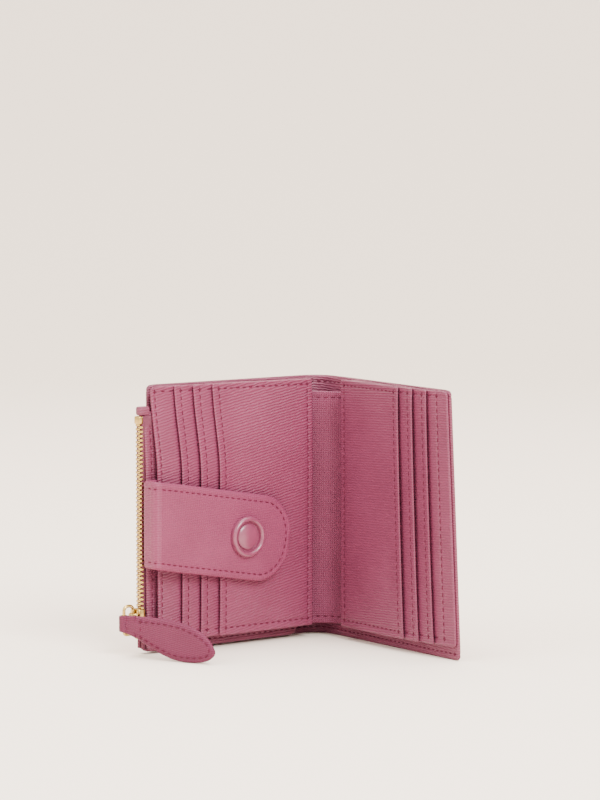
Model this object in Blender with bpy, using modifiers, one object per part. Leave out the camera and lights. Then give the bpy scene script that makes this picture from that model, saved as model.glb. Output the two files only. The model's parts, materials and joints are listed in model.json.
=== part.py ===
"""Compact bifold wallet with card pockets, a zipped coin pocket and a snap strap.

The wallet stands open on its lower edge. Both leaves turn about one upright
fold line. Inside a leaf, sizes are given as a distance out from the fold line,
a depth (the inner face of the cards is nearest zero, the cover is the most
negative) and a height above the lower edge.
"""

import math

import bmesh
import bpy
from mathutils import Matrix, Vector

MM = 0.001

# Where the fold line stands, and how far each leaf is turned from +X.
FOLD_X = 14.977 * MM
FOLD_Y = 26.595 * MM
LEFT_TURN = math.radians(219)
RIGHT_TURN = math.radians(-59)

# Leaves.
LEAF_REACH = 75.0 * MM
LEAF_HEIGHT = 100.0 * MM
COVER_INNER_END = 1.5 * MM
COVER_THICK = 1.6 * MM
COVER_LEFT_DEPTH = -16.2 * MM
COVER_RIGHT_DEPTH = -9.6 * MM
CORNER_RADIUS = 2.0 * MM
PANEL_INNER_END = 4.6 * MM
PANEL_FOOT = 5.0 * MM
PANEL_TOP = 99.5 * MM
PANEL_DEPTH = -7.1 * MM
PANEL_THICK = 1.0 * MM
POCKET_THICK = 0.7 * MM
POCKET_MOUTHS = (64.9 * MM, 56.7 * MM, 48.5 * MM)
POCKET_DEPTHS = (-5.8 * MM, -4.8 * MM, -3.8 * MM)

# Spine.
SPINE_THICK = 1.4 * MM
SPINE_LINING_THICK = 0.9 * MM
SPINE_LINING_TOP = 94.4 * MM
SPINE_STEPS = 16
END_GAP = 0.3 * MM

# Coin pocket and its zip.
COIN_INNER_END = 6.0 * MM
COIN_REACH = 78.3 * MM
COIN_FOOT = 1.0 * MM
COIN_TOP = 90.2 * MM
COIN_WALL_THICK = 1.0 * MM
COIN_FRONT_DEPTH = -9.9 * MM
COIN_BACK_DEPTH = -14.3 * MM
GUSSET_THICK = 1.0 * MM
ZIP_DEPTH = -11.6 * MM
TAPE_WIDTH = 10.0 * MM
TAPE_THICK = 0.5 * MM
CHAIN_START = 78.8 * MM
CHAIN_END = 80.8 * MM
CHAIN_HALF_WIDTH = 2.3 * MM
CHAIN_FOOT = 9.0 * MM
CHAIN_TOP = 85.6 * MM
TOOTH_PITCH = 1.6 * MM
TOOTH_THICK = 0.5 * MM
TOOTH_LAP = 0.7 * MM
RAIL_THICK = 0.7 * MM
STOP_HEIGHT = 3.0 * MM
END_TAB_HEIGHT = 2.5 * MM

# Slider, ring and leather pull.
SLIDER_FOOT = 11.0 * MM
SLIDER_HEIGHT = 6.5 * MM
SLIDER_HALF_WIDTH = 3.0 * MM
SLIDER_START = 81.1 * MM
PLATE_THICK = 0.9 * MM
ARCH_REACH = 2.4 * MM
ARCH_THICK = 0.7 * MM
ARCH_HALF_WIDTH = 1.5 * MM
RING_INNER = 82.8 * MM
RING_OUTER = 87.0 * MM
RING_FOOT = 8.0 * MM
RING_TOP = 18.6 * MM
RING_WIRE = 0.6 * MM
RING_CORNER = 1.0 * MM
TAB_TURN = math.radians(17.5)
TAB_LENGTH = 40.0 * MM
TAB_THICK = 2.4 * MM
TAB_LOOP_OUTER = 1.9 * MM
TAB_LOOP_INNER = 0.8 * MM
TAB_NECK_TOP = 15.3 * MM
TAB_NECK_FOOT = 9.2 * MM

# Snap strap.
STRAP_WIDTH = 32.6 * MM
STRAP_MIDDLE = 49.0 * MM
STRAP_THICK = 2.0 * MM
STRAP_UNDER_DEPTH = -1.8 * MM
STRAP_DROOP = math.radians(9.5)
ROOT_START = 60.0 * MM
ROOT_END = 78.6 * MM
ROOT_DEPTH = -8.4 * MM
ROOT_THICK = 1.0 * MM
SWING_REACH = 79.7 * MM
SWING_DEPTH = -7.6 * MM
TURN_START = 79.0 * MM
TURN_FOOT_DEPTH = -6.9 * MM
TURN_TOP_DEPTH = -2.4 * MM
BEND_REACH = 80.0 * MM
BEND_DEPTH = -0.8 * MM
WRAP_LENGTH = 13.0 * MM
BEND_GAP = 1.1 * MM
STRAP_LENGTH = 64.0 * MM
STRAP_ROUND = 14.0 * MM
SNAP_ALONG = 42.5 * MM

# Press stud.
SOCKET_RADIUS = 5.5 * MM
SOCKET_HOLE = 2.3 * MM
SOCKET_THICK = 0.6 * MM
BUTTON_RADIUS = 7.7 * MM
BUTTON_HEIGHT = 2.0 * MM
TOUCH_GAP = 0.1 * MM
STUD_RADIUS = 4.5 * MM
STUD_FLANGE = 0.4 * MM
STUD_POST_RADIUS = 1.7 * MM
STUD_POST_HEIGHT = 0.8 * MM
WASHER_RADIUS = 4.0 * MM
WASHER_THICK = 0.4 * MM

COLORS = {
    "leather": ((0.36, 0.11, 0.18, 1), 0.55, 0.0),
    "leather_inside": ((0.30, 0.08, 0.14, 1), 0.65, 0.0),
    "tape": ((0.33, 0.09, 0.15, 1), 0.85, 0.0),
    "brass": ((0.83, 0.62, 0.32, 1), 0.25, 1.0),
    "enamel": ((0.38, 0.11, 0.19, 1), 0.3, 0.0),
}


def clear_scene():
    for item in list(bpy.data.objects):
        bpy.data.objects.remove(item, do_unlink=True)


def make_collection(name):
    group = bpy.data.collections.new(name)
    bpy.context.scene.collection.children.link(group)
    return group


def make_material(name, kind):
    """One Principled material for each piece, in its kind's colour and finish."""
    color, roughness, metallic = COLORS[kind]
    material = bpy.data.materials.new(name)
    material.use_nodes = True
    shader = material.node_tree.nodes["Principled BSDF"]
    shader.inputs["Base Color"].default_value = color
    shader.inputs["Roughness"].default_value = roughness
    shader.inputs["Metallic"].default_value = metallic
    return material


def add_piece(name, mesh, kind, pivot):
    """Makes a named piece from a mesh in leaf coordinates and hangs it on a pivot."""
    piece = bpy.data.objects.new(name, mesh)
    parts.objects.link(piece)
    mesh.transform(Matrix.Translation(-pivot.place))
    piece.parent = pivot.empty
    piece.data.materials.clear()
    piece.data.materials.append(make_material(name, kind))
    return piece


class Pivot:
    """An empty with its place in the coordinates of the leaf or strap that it is on."""

    def __init__(self, name, parent=None, place=(0, 0, 0)):
        self.place = Vector(place)
        self.empty = bpy.data.objects.new(name, None)
        parts.objects.link(self.empty)
        if parent:
            self.empty.parent = parent.empty
            self.empty.location = self.place - parent.place

    def turned(self, angle, axis):
        """Turns the pivot, whose pieces are then given in its own turned coordinates."""
        self.empty.rotation_euler["XYZ".index(axis)] = angle
        self.place = Vector((0, 0, 0))
        return self


def make_leaf(name, turn):
    leaf = Pivot(name)
    leaf.empty.location = (FOLD_X, FOLD_Y, 0)
    leaf.empty.rotation_euler = (0, 0, turn)
    return leaf


def box_mesh(x_span, y_span, z_span):
    """A closed box; each span is a (start, end) pair."""
    low = [min(span) for span in (x_span, y_span, z_span)]
    high = [max(span) for span in (x_span, y_span, z_span)]
    body = bmesh.new()
    bmesh.ops.create_cube(body, size=1)
    bmesh.ops.scale(body, vec=[b - a for a, b in zip(low, high)], verts=body.verts)
    bmesh.ops.translate(body, vec=[(a + b) / 2 for a, b in zip(low, high)], verts=body.verts)
    mesh = bpy.data.meshes.new("box")
    body.to_mesh(mesh)
    body.free()
    return mesh


def sheet_mesh(x_span, y_span, z_span, corner=CORNER_RADIUS):
    """A flat sheet whose outline has its four corners rounded."""
    mesh = box_mesh(x_span, y_span, z_span)
    body = bmesh.new()
    body.from_mesh(mesh)
    through = [e for e in body.edges if abs((e.verts[0].co - e.verts[1].co).y) > 1e-5]
    bmesh.ops.bevel(body, geom=through, offset=corner, segments=4, profile=0.5, affect="EDGES")
    body.to_mesh(mesh)
    body.free()
    return mesh


def curve_to_mesh(curve):
    """The closed mesh of a curve, with its caps welded on."""
    holder = bpy.data.objects.new("outline", curve)
    parts.objects.link(holder)
    evaluated = holder.evaluated_get(bpy.context.evaluated_depsgraph_get())
    mesh = bpy.data.meshes.new_from_object(evaluated)
    bpy.data.objects.remove(holder)
    body = bmesh.new()
    body.from_mesh(mesh)
    bmesh.ops.remove_doubles(body, verts=body.verts, dist=1e-6)
    body.to_mesh(mesh)
    body.free()
    return mesh


def outline_mesh(loops, thickness):
    """A flat outline in XY, with any holes, given its thickness along Z.

    It is filled at a thousand times its size, where the filling is exact.
    """
    curve = bpy.data.curves.new("outline", "CURVE")
    curve.dimensions = "2D"
    curve.fill_mode = "BOTH"
    curve.extrude = thickness / 2 / MM
    for loop in loops:
        spline = curve.splines.new("POLY")
        spline.points.add(len(loop) - 1)
        for point, (x, y) in zip(spline.points, loop):
            point.co = (x / MM, y / MM, 0, 1)
        spline.use_cyclic_u = True
    mesh = curve_to_mesh(curve)
    mesh.transform(Matrix.Scale(MM, 4))
    return mesh


def arc(middle, radius, start, end, steps):
    """Points of an arc, or of an ellipse when the radius is a pair."""
    wide, tall = radius if isinstance(radius, tuple) else (radius, radius)
    turns = [start + (end - start) * n / steps for n in range(steps + 1)]
    return [(middle[0] + wide * math.cos(t), middle[1] + tall * math.sin(t)) for t in turns]


# Turn a flat outline's X, Y and thickness to stand on a leaf.
UPRIGHT_ALONG_LEAF = Matrix(((1, 0, 0, 0), (0, 0, -1, 0), (0, 1, 0, 0), (0, 0, 0, 1)))
FACING_OUT = Matrix.Rotation(-math.pi / 2, 4, "X")


def turned_mesh(profile, closed=False):
    """A turned shape about Z from (radius, height) points that run down its outside."""
    count = len(profile)
    edges = [(n, n + 1) for n in range(count - 1)]
    if closed:
        edges.append((count - 1, 0))
    mesh = bpy.data.meshes.new("profile")
    mesh.from_pydata([(r, 0, h) for r, h in profile], edges, [])
    holder = bpy.data.objects.new("profile", mesh)
    parts.objects.link(holder)
    screw = holder.modifiers.new("turn", "SCREW")
    screw.steps = 32
    screw.render_steps = 32
    screw.use_merge_vertices = True
    screw.merge_threshold = 1e-6
    evaluated = holder.evaluated_get(bpy.context.evaluated_depsgraph_get())
    result = bpy.data.meshes.new_from_object(evaluated)
    bpy.data.objects.remove(holder)
    result.shade_smooth()
    result.set_sharp_from_angle(angle=math.radians(40))
    return result


def combine(name, piece_mesh, tool_mesh, operation):
    """The two meshes joined or crossed into one closed mesh."""
    base = bpy.data.objects.new(name + "_base", piece_mesh)
    tool = bpy.data.objects.new(name + "_tool", tool_mesh)
    parts.objects.link(base)
    cutters.objects.link(tool)
    tool.hide_render = True
    tool.display_type = "WIRE"
    boolean = base.modifiers.new("join", "BOOLEAN")
    boolean.operation = operation
    boolean.object = tool
    evaluated = base.evaluated_get(bpy.context.evaluated_depsgraph_get())
    result = bpy.data.meshes.new_from_object(evaluated)
    bpy.data.objects.remove(base)
    bpy.data.objects.remove(tool)
    return result


def make_covers(left, right):
    reach = (COVER_INNER_END, LEAF_REACH)
    height = (0, LEAF_HEIGHT)
    left_depth = (COVER_LEFT_DEPTH, COVER_LEFT_DEPTH + COVER_THICK)
    right_depth = (-COVER_RIGHT_DEPTH, -COVER_RIGHT_DEPTH - COVER_THICK)
    add_piece("outer_cover_left", sheet_mesh(reach, left_depth, height), "leather", left)
    add_piece("outer_cover_right", sheet_mesh(reach, right_depth, height), "leather", right)


def make_card_panels(leaf, side, ending):
    """The lining panel with three stepped card pockets in front of it."""
    height = (PANEL_FOOT, PANEL_TOP)
    depth = (side * PANEL_DEPTH, side * (PANEL_DEPTH + PANEL_THICK))
    panel = sheet_mesh((PANEL_INNER_END, LEAF_REACH), depth, height)
    add_piece("card_panel_" + ending, panel, "leather", leaf)
    for number, (mouth, back) in enumerate(zip(POCKET_MOUTHS, POCKET_DEPTHS), 1):
        depth = (side * back, side * (back + POCKET_THICK))
        pocket = sheet_mesh((PANEL_INNER_END, mouth), depth, height, POCKET_THICK)
        add_piece(f"card_pocket_{ending}_{number}", pocket, "leather", leaf)


def spine_path(left, right, start, left_depth, right_depth, bulge):
    """Points of a smooth arch, seen from above, from one leaf's end to the other's."""
    ends = []
    for leaf, depth in ((left, left_depth), (right, -right_depth)):
        turn = leaf.empty.rotation_euler[2]
        out = Vector((math.cos(turn), math.sin(turn)))
        across = Vector((-out.y, out.x))
        ends.append((out * start + across * depth, -out))
    (first, first_way), (last, last_way) = ends
    pull = (last - first).length * bulge
    controls = (first, first + first_way * pull, last + last_way * pull, last)
    points = []
    for n in range(SPINE_STEPS + 1):
        t = n / SPINE_STEPS
        weights = ((1 - t) ** 3, 3 * t * (1 - t) ** 2, 3 * t**2 * (1 - t), t**3)
        points.append(sum((w * c for w, c in zip(weights, controls)), Vector((0, 0))))
    return points


def add_spine_strip(name, path, thickness, foot, top, kind):
    """An upright strip that follows a path seen from above."""
    edge = bmesh.new()
    lower = [edge.verts.new((p.x + FOLD_X, p.y + FOLD_Y, foot)) for p in path]
    upper = [edge.verts.new((p.x + FOLD_X, p.y + FOLD_Y, top)) for p in path]
    for n in range(len(path) - 1):
        edge.faces.new((lower[n], lower[n + 1], upper[n + 1], upper[n]))
    mesh = bpy.data.meshes.new(name)
    edge.to_mesh(mesh)
    edge.free()
    piece = bpy.data.objects.new(name, mesh)
    parts.objects.link(piece)
    mesh.materials.append(make_material(name, kind))
    thicken = piece.modifiers.new("thickness", "SOLIDIFY")
    thicken.thickness = thickness
    thicken.offset = 0


def make_spine(left, right):
    end = COVER_INNER_END - END_GAP
    half = COVER_THICK / 2
    shell = spine_path(left, right, end, COVER_LEFT_DEPTH + half, COVER_RIGHT_DEPTH + half, 0.6)
    add_spine_strip("spine_panel", shell, SPINE_THICK, END_GAP, LEAF_HEIGHT - END_GAP, "leather")
    middle = PANEL_DEPTH + PANEL_THICK / 2
    inner = spine_path(left, right, PANEL_INNER_END - END_GAP, middle, middle, 0.35)
    foot = PANEL_FOOT
    add_spine_strip("spine_lining", inner, SPINE_LINING_THICK, foot, SPINE_LINING_TOP, "leather_inside")


def make_coin_pocket(left):
    reach = (COIN_INNER_END, COIN_REACH)
    height = (COIN_FOOT, COIN_TOP)
    front = (COIN_FRONT_DEPTH, COIN_FRONT_DEPTH + COIN_WALL_THICK)
    back = (COIN_BACK_DEPTH, COIN_BACK_DEPTH + COIN_WALL_THICK)
    add_piece("coin_pocket_front", sheet_mesh(reach, front, height), "leather", left)
    add_piece("coin_pocket_back", sheet_mesh(reach, back, height), "leather", left)
    inside = (back[1] + END_GAP, front[0] - END_GAP)
    end_reach = (COIN_INNER_END + GUSSET_THICK, COIN_REACH - GUSSET_THICK)
    foot = box_mesh(end_reach, inside, (COIN_FOOT, COIN_FOOT + GUSSET_THICK))
    head = box_mesh(end_reach, inside, (COIN_TOP - GUSSET_THICK, COIN_TOP))
    add_piece("coin_gusset_lower", foot, "leather_inside", left)
    add_piece("coin_gusset_upper", head, "leather_inside", left)
    tape_height = (COIN_FOOT + GUSSET_THICK + END_GAP, COIN_TOP - GUSSET_THICK - END_GAP)
    tape_reach = (COIN_REACH - TAPE_WIDTH, COIN_REACH)
    for ending, edge, way in (("front", inside[1], -1), ("back", inside[0], 1)):
        tape = box_mesh(tape_reach, (edge, edge + way * TAPE_THICK), tape_height)
        add_piece("zip_tape_" + ending, tape, "tape", left)
    cap_depth = (ZIP_DEPTH - CHAIN_HALF_WIDTH, ZIP_DEPTH + CHAIN_HALF_WIDTH)
    cap_height = (COIN_TOP + END_GAP, COIN_TOP + END_TAB_HEIGHT)
    cap = box_mesh((COIN_REACH - TAPE_WIDTH, CHAIN_END), cap_depth, cap_height)
    add_piece("zip_end_tab", cap, "leather", left)


def comb_mesh(way, first_tooth):
    """One side of the zip as a flat open sheet: a rail with a tooth at every pitch."""
    rail_back = ZIP_DEPTH + way * CHAIN_HALF_WIDTH
    rail_front = rail_back - way * RAIL_THICK
    tooth_end = ZIP_DEPTH - way * TOOTH_LAP
    middle = (CHAIN_START + CHAIN_END) / 2
    comb = bmesh.new()

    def row(height):
        return [comb.verts.new((middle, y, height)) for y in (rail_back, rail_front)]

    last = row(CHAIN_FOOT)
    low = CHAIN_FOOT + first_tooth
    while low + TOOTH_THICK < CHAIN_TOP - END_GAP:
        under = row(low)
        over = row(low + TOOTH_THICK)
        comb.faces.new((last[0], last[1], under[1], under[0]))
        comb.faces.new((under[0], under[1], over[1], over[0]))
        ends = [comb.verts.new((middle, tooth_end, z)) for z in (low, low + TOOTH_THICK)]
        comb.faces.new((under[1], ends[0], ends[1], over[1]))
        last = over
        low += TOOTH_PITCH
    top = row(CHAIN_TOP)
    comb.faces.new((last[0], last[1], top[1], top[0]))
    bmesh.ops.recalc_face_normals(comb, faces=comb.faces)
    mesh = bpy.data.meshes.new("comb")
    comb.to_mesh(mesh)
    comb.free()
    return mesh


def make_zip(left):
    for ending, way, first in (("front", 1, END_GAP), ("back", -1, END_GAP + TOOTH_PITCH / 2)):
        comb = add_piece("zip_teeth_" + ending, comb_mesh(way, first), "brass", left)
        thicken = comb.modifiers.new("thickness", "SOLIDIFY")
        thicken.thickness = CHAIN_END - CHAIN_START
        thicken.offset = 0
    depth = (ZIP_DEPTH - CHAIN_HALF_WIDTH, ZIP_DEPTH + CHAIN_HALF_WIDTH)
    for name, low in (
        ("zip_bottom_stop", CHAIN_FOOT - END_GAP - STOP_HEIGHT),
        ("zip_top_stop", CHAIN_TOP + END_GAP),
    ):
        stop = box_mesh((CHAIN_START, CHAIN_END), depth, (low, low + STOP_HEIGHT))
        add_piece(name, stop, "brass", left)


def make_slider(left):
    """A plate over the teeth with an arch on it that the ring passes through."""
    place = (SLIDER_START, ZIP_DEPTH, SLIDER_FOOT)
    slide = Pivot("zip_slide", left, place)
    face = SLIDER_START + PLATE_THICK
    arch_top = face + ARCH_REACH
    wide = SLIDER_HALF_WIDTH
    narrow = ARCH_HALF_WIDTH
    bend = ARCH_THICK
    outer = [(-wide, SLIDER_START), (wide, SLIDER_START), (wide, face), (narrow, face)]
    outer += [(narrow, arch_top - bend), (narrow - bend, arch_top)]
    outer += [(bend - narrow, arch_top), (-narrow, arch_top - bend)]
    outer += [(-narrow, face), (-wide, face)]
    hole_half = narrow - ARCH_THICK
    hole = [(-hole_half, face), (hole_half, face)]
    hole += [(hole_half, arch_top - ARCH_THICK), (-hole_half, arch_top - ARCH_THICK)]
    body = outline_mesh([outer, hole], SLIDER_HEIGHT)
    lay = Matrix(((0, 1, 0), (-1, 0, 0), (0, 0, 1))).to_4x4()
    middle = Matrix.Translation((0, ZIP_DEPTH, SLIDER_FOOT + SLIDER_HEIGHT / 2))
    body.transform(middle @ lay)
    add_piece("zip_slider", body, "brass", slide)
    return slide


def make_ring(slide):
    """An upright wire loop; its inner bar is held by the slider's arch."""
    swing = Pivot("puller_swing", slide, (RING_INNER, ZIP_DEPTH, SLIDER_FOOT))
    corner = RING_CORNER
    path = []
    for x, z, start in (
        (RING_OUTER - corner, RING_TOP - corner, 0),
        (RING_INNER + corner, RING_TOP - corner, 1),
        (RING_INNER + corner, RING_FOOT + corner, 2),
        (RING_OUTER - corner, RING_FOOT + corner, 3),
    ):
        path += arc((x, z), corner, start * math.pi / 2, (start + 1) * math.pi / 2, 4)
    curve = bpy.data.curves.new("ring", "CURVE")
    curve.dimensions = "3D"
    curve.bevel_depth = RING_WIRE
    curve.bevel_resolution = 2
    spline = curve.splines.new("POLY")
    spline.points.add(len(path) - 1)
    for point, (x, z) in zip(spline.points, path):
        point.co = (x, ZIP_DEPTH, z, 1)
    spline.use_cyclic_u = True
    ring = curve_to_mesh(curve)
    ring.shade_smooth()
    add_piece("pull_ring", ring, "brass", swing)
    return swing


def make_tab(swing):
    """The leather pull: a loop round the ring's outer bar, then a hanging teardrop."""
    hang = Pivot("tab_swing", swing, (RING_OUTER, ZIP_DEPTH, SLIDER_FOOT))
    hang.turned(math.pi / 2 + TAB_TURN, "Z")
    half = TAB_THICK / 2
    neck = math.asin(half / TAB_LOOP_OUTER)
    loop = arc((0, 0), TAB_LOOP_OUTER, neck, 2 * math.pi - neck, 16)
    plan = [(TAB_LENGTH + half, -half), (TAB_LENGTH + half, half)] + loop
    hole = arc((0, 0), TAB_LOOP_INNER, 0, 2 * math.pi, 16)[:-1]
    top = 2 * (TAB_NECK_TOP + RING_WIRE)
    body = outline_mesh([plan, hole], top)
    silhouette = [
        (-3.0 * MM, TAB_NECK_FOOT),
        (-3.0 * MM, TAB_NECK_TOP),
        (5.0 * MM, TAB_NECK_TOP),
        (14.0 * MM, 15.3 * MM),
        (24.0 * MM, 14.8 * MM),
        (33.0 * MM, 12.6 * MM),
        (38.6 * MM, 8.4 * MM),
        (40.0 * MM, 4.2 * MM),
        (36.0 * MM, 1.0 * MM),
        (28.0 * MM, 0.05 * MM),
        (21.0 * MM, 0.8 * MM),
        (12.0 * MM, 4.4 * MM),
        (4.0 * MM, 8.3 * MM),
    ]
    drop = outline_mesh([silhouette], 2 * TAB_LOOP_OUTER + MM)
    drop.transform(UPRIGHT_ALONG_LEAF)
    tab = combine("tab", body, drop, "INTERSECT")
    tab.transform(Matrix.Translation((0, 0, -SLIDER_FOOT)))
    add_piece("pull_tab", tab, "leather", hang)


def make_strap(left):
    """The snap strap, in the stretches between the lines that it bends along."""
    height = (STRAP_MIDDLE - STRAP_WIDTH / 2, STRAP_MIDDLE + STRAP_WIDTH / 2)
    root = box_mesh((ROOT_START, ROOT_END), (ROOT_DEPTH, ROOT_DEPTH + ROOT_THICK), height)
    add_piece("strap_root", root, "leather", left)

    swing = Pivot("strap_swing", left, (SWING_REACH, SWING_DEPTH, STRAP_MIDDLE))
    turn_reach = (TURN_START, TURN_START + STRAP_THICK)
    turn = box_mesh(turn_reach, (TURN_FOOT_DEPTH, TURN_TOP_DEPTH), height)
    add_piece("strap_turn", turn, "leather", swing)

    # From here the strap is drawn in its own coordinates: it runs along -X and droops.
    bend = Pivot("strap_bend", swing, (BEND_REACH, BEND_DEPTH, STRAP_MIDDLE))
    bend.turned(-STRAP_DROOP, "Y")
    under = STRAP_UNDER_DEPTH - BEND_DEPTH
    depth = (under, under + STRAP_THICK)
    width = (-STRAP_WIDTH / 2, STRAP_WIDTH / 2)
    wrap = box_mesh((BEND_GAP - WRAP_LENGTH, -BEND_GAP), depth, width)
    add_piece("strap_wrap", wrap, "leather", bend)

    tip = Pivot("strap_tip", bend, (-WRAP_LENGTH, 0, 0))
    straight = STRAP_ROUND - STRAP_LENGTH
    start = -WRAP_LENGTH - BEND_GAP
    outline = [(start, -STRAP_WIDTH / 2), (start, STRAP_WIDTH / 2)]
    rounding = (STRAP_ROUND, STRAP_WIDTH / 2)
    outline += arc((straight, 0), rounding, math.pi / 2, 3 * math.pi / 2, 24)
    tongue = outline_mesh([outline], STRAP_THICK)
    tongue.transform(Matrix.Translation((0, sum(depth) / 2, 0)) @ UPRIGHT_ALONG_LEAF)
    add_piece("strap_tongue", tongue, "leather", tip)
    make_snap(tip, depth)


def make_snap(tip, depth):
    """The press stud's socket under the strap, and the domed button over it."""
    socket = turned_mesh(
        [
            (SOCKET_HOLE, SOCKET_THICK),
            (SOCKET_RADIUS, SOCKET_THICK),
            (SOCKET_RADIUS, 0),
            (SOCKET_HOLE, 0),
        ],
        closed=True,
    )
    low = depth[0] - TOUCH_GAP - SOCKET_THICK
    socket.transform(Matrix.Translation((-SNAP_ALONG, low, 0)) @ FACING_OUT)
    add_piece("snap_socket", socket, "brass", tip)
    rim = 0.6 * MM
    profile = [(0, BUTTON_HEIGHT)]
    rise = BUTTON_HEIGHT - rim
    profile += [
        (BUTTON_RADIUS * math.sin(t), rim + rise * math.cos(t))
        for t in [math.pi / 2 * n / 8 for n in range(1, 9)]
    ]
    profile += [(BUTTON_RADIUS, 0), (0, 0)]
    button = turned_mesh(profile)
    button.transform(Matrix.Translation((-SNAP_ALONG, depth[1] + TOUCH_GAP, 0)) @ FACING_OUT)
    add_piece("strap_button", button, "enamel", tip)


def make_stud(right):
    """The stud on the other cover, where the socket lands when the strap is fastened."""
    along = SNAP_ALONG - WRAP_LENGTH
    reach = BEND_REACH - along * math.cos(STRAP_DROOP)
    height = STRAP_MIDDLE - along * math.sin(STRAP_DROOP)
    outer_face = -COVER_RIGHT_DEPTH + TOUCH_GAP
    stud = turned_mesh(
        [
            (0, STUD_FLANGE + STUD_POST_HEIGHT),
            (STUD_POST_RADIUS, STUD_FLANGE + STUD_POST_HEIGHT),
            (STUD_POST_RADIUS, STUD_FLANGE),
            (STUD_RADIUS, STUD_FLANGE),
            (STUD_RADIUS, 0),
            (0, 0),
        ]
    )
    stud.transform(Matrix.Translation((reach, outer_face, height)) @ FACING_OUT)
    add_piece("snap_stud", stud, "brass", right)
    washer = turned_mesh(
        [(0, WASHER_THICK), (WASHER_RADIUS, WASHER_THICK), (WASHER_RADIUS, 0), (0, 0)]
    )
    inner_face = -COVER_RIGHT_DEPTH - COVER_THICK - TOUCH_GAP - WASHER_THICK
    washer.transform(Matrix.Translation((reach, inner_face, height)) @ FACING_OUT)
    add_piece("stud_backing", washer, "brass", right)


clear_scene()
parts = make_collection("bifold_wallet")
cutters = make_collection("cutters")
left_leaf = make_leaf("left_leaf", LEFT_TURN)
right_leaf = make_leaf("right_leaf", RIGHT_TURN)
make_covers(left_leaf, right_leaf)
make_card_panels(left_leaf, 1, "left")
make_card_panels(right_leaf, -1, "right")
make_spine(left_leaf, right_leaf)
make_coin_pocket(left_leaf)
make_zip(left_leaf)
zip_slide = make_slider(left_leaf)
puller_swing = make_ring(zip_slide)
make_tab(puller_swing)
make_strap(left_leaf)
make_stud(right_leaf)
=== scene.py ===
import math
import json
import bmesh
import bpy
from mathutils import Matrix, Vector


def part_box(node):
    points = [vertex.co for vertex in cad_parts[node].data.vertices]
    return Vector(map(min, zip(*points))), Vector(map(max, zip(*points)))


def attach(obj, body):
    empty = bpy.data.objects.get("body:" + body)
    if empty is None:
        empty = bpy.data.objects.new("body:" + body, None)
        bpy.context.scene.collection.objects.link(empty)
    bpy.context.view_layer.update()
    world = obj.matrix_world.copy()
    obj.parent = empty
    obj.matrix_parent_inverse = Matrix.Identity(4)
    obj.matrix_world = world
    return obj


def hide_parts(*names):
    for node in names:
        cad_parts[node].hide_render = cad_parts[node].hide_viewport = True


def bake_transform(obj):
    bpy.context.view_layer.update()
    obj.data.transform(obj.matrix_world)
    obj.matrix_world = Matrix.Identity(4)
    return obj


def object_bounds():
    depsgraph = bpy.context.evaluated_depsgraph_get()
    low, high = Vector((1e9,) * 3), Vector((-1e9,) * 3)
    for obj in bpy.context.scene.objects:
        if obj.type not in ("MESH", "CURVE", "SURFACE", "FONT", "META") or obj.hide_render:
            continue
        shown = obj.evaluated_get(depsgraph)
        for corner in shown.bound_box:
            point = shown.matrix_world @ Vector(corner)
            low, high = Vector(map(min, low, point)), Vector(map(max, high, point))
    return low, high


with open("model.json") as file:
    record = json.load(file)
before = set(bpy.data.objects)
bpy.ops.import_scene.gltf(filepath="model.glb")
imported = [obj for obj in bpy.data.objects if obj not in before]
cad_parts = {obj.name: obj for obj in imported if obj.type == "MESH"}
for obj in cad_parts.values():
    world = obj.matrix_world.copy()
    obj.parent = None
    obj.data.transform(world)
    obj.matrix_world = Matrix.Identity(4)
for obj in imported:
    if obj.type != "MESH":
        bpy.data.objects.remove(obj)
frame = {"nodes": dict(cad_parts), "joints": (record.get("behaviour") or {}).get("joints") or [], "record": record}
cadLow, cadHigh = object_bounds()
mm = 0.001
upright = Vector((0, 0, 1))
midHeight = cadHigh[2] / 2

# where the leaves stand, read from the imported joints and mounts
joints = {j["name"]: j for j in frame["joints"]}
mounts = {m["name"]: m for m in frame["record"]["mounts"]}
fold = Vector(joints["cover_fold"]["pos_m"])
outward = Vector(mounts["cover_face"]["axis"])
leftTurn = math.atan2(-outward.y, -outward.x) - math.pi / 2
rightTurn = leftTurn + math.radians(joints["cover_fold"]["range_deg"][1])

leafShape = {
    "twist": math.radians(1.9),      # the right leaf opens a little wider at its foot
    "pinchStart": 66 * mm,           # above this the left cards lean back to the cover
    "pinchDepth": 4.2 * mm,
    "pinchReach": (2 * mm, 54 * mm), # the lean grows between these distances from the fold
    "pinchLeast": 0.12,
    "wave": 0.16 * mm,               # soft unevenness of the leather
}


def smooth(t):
    t = max(0.0, min(1.0, t))
    return t * t * (3 - 2 * t)


def middleOf(span):
    return (span[0] + span[1]) / 2


def leafAxes(side, z=midHeight):
    turn = leftTurn
    if side == "right":
        turn = rightTurn + leafShape["twist"] * (midHeight - z) / midHeight
    out = Vector((math.cos(turn), math.sin(turn), 0))
    inward = Vector((-out.y, out.x, 0)) * (1 if side == "left" else -1)
    return out, inward


def leafPoint(side, u, w, z):
    out, inward = leafAxes(side, z)
    return Vector((fold.x, fold.y, z)) + out * u + inward * w


def leafSpan(node, side="left"):
    # reach, depth and height of a CAD node, each as (low, high), in its leaf's own directions
    spots = [v.co - fold for v in frame["nodes"][node].data.vertices]
    spans = []
    for way in (*leafAxes(side), upright):
        reach = [p.dot(way) for p in spots]
        spans.append((min(reach), max(reach)))
    return spans


cardTop = leafSpan("card_panel_left")[2][1]


def addObject(name, data):
    item = bpy.data.objects.new(name, data)
    bpy.context.scene.collection.objects.link(item)
    return item


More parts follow.
